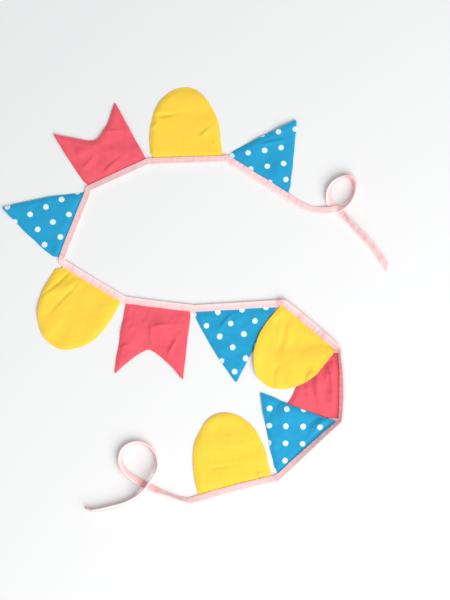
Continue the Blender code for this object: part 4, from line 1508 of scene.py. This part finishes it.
class BuntingStage(bpy.types.PropertyGroup):
    """The light and the camera."""

    view_x: metres("View middle X", "Middle of the view", 0.0510)
    view_y: metres("View middle Y", "Middle of the view", -0.0008)
    view_width: metres("View width", "Width of floor in view", 0.765)
    camera_height: metres("Camera height", "Above the floor", 3.0)
    key_azimuth: degrees("Key azimuth", "Turn of the key light from the X axis", -48)
    key_elevation: degrees("Key elevation", "Height of the key light over the floor", 45)
    key_distance: metres("Key distance", "From the key light to the view's middle", 3.3)
    key_size: metres("Key size", "Side of the key light", 3.3)
    key_power: FloatProperty(
        name="Key power", description="Power of the key light", default=124.0, unit="POWER")
    fill_strength: FloatProperty(
        name="Fill", description="Strength of the light from all round", default=0.55)


Sizes = namedtuple("Sizes", list(BuntingSizes.__annotations__))


def chosen_sizes(context):
    """The scene's sizes in millimetres, as a plain tuple."""
    group = context.scene.bunting_sizes
    return Sizes(*(round(getattr(group, field) / MM, 4) for field in Sizes._fields))


class BUNTING_OT_stage(bpy.types.Operator):
    """Add the floor, the lights and the camera"""

    bl_idname = "bunting.add_stage"
    bl_label = "Stage"

    def execute(self, context):
        make_stage(context.scene.bunting_stage, context.scene.bunting_colours)
        return {"FINISHED"}


class BUNTING_OT_binding(bpy.types.Operator):
    """Fold the binding and its two ties"""

    bl_idname = "bunting.add_binding"
    bl_label = "Binding"

    def execute(self, context):
        make_binding(chosen_sizes(context), context.scene.bunting_colours)
        return {"FINISHED"}


class BUNTING_OT_stitching(bpy.types.Operator):
    """Sew the stitches along the binding"""

    bl_idname = "bunting.add_stitching"
    bl_label = "Stitching"

    def execute(self, context):
        make_stitching(chosen_sizes(context), context.scene.bunting_colours)
        return {"FINISHED"}


def make_pennants(names, context):
    """Make each named pennant."""
    for name in names:
        make_pennant(name, chosen_sizes(context), context.scene.bunting_colours)
    return {"FINISHED"}


class BUNTING_OT_triangles(bpy.types.Operator):
    """Cut the dotted triangles"""

    bl_idname = "bunting.add_triangles"
    bl_label = "Triangles"

    def execute(self, context):
        return make_pennants(TRIANGLES, context)


class BUNTING_OT_rounds(bpy.types.Operator):
    """Cut the round pennants"""

    bl_idname = "bunting.add_rounds"
    bl_label = "Rounds"

    def execute(self, context):
        return make_pennants(ROUNDS, context)


class BUNTING_OT_swallowtails(bpy.types.Operator):
    """Cut the swallowtails"""

    bl_idname = "bunting.add_swallowtails"
    bl_label = "Swallowtails"

    def execute(self, context):
        return make_pennants(SWALLOWTAILS, context)


OPERATORS = (
    BUNTING_OT_stage,
    BUNTING_OT_binding,
    BUNTING_OT_stitching,
    BUNTING_OT_triangles,
    BUNTING_OT_rounds,
    BUNTING_OT_swallowtails,
)


class BUNTING_PT_sidebar(bpy.types.Panel):
    """The bunting's pieces, sizes and colours"""

    bl_idname = "BUNTING_PT_sidebar"
    bl_label = "Fabric bunting"
    bl_space_type = "VIEW_3D"
    bl_region_type = "UI"
    bl_category = "Bunting"

    def draw(self, context):
        for operator in OPERATORS:
            self.layout.operator(operator.bl_idname)
        for attribute, group in PROPERTY_GROUPS.items():
            box = self.layout.box()
            for field in group.__annotations__:
                box.prop(getattr(context.scene, attribute), field)


PROPERTY_GROUPS = {
    "bunting_sizes": BuntingSizes,
    "bunting_colours": BuntingColours,
    "bunting_stage": BuntingStage,
}


def register():
    """Register the classes and hang the property groups on the scene."""
    for item in (*PROPERTY_GROUPS.values(), *OPERATORS, BUNTING_PT_sidebar):
        bpy.utils.register_class(item)
    for attribute, group in PROPERTY_GROUPS.items():
        setattr(bpy.types.Scene, attribute, PointerProperty(type=group))


def unregister():
    """Take the property groups off the scene and unregister the classes."""
    for attribute in PROPERTY_GROUPS:
        delattr(bpy.types.Scene, attribute)
    for item in (BUNTING_PT_sidebar, *reversed(OPERATORS), *PROPERTY_GROUPS.values()):
        bpy.utils.unregister_class(item)


def main():
    """Build every piece in order."""
    register()
    bpy.ops.bunting.add_stage()
    bpy.ops.bunting.add_binding()
    bpy.ops.bunting.add_stitching()
    bpy.ops.bunting.add_triangles()
    bpy.ops.bunting.add_rounds()
    bpy.ops.bunting.add_swallowtails()


if __name__ == "__main__":
    main()
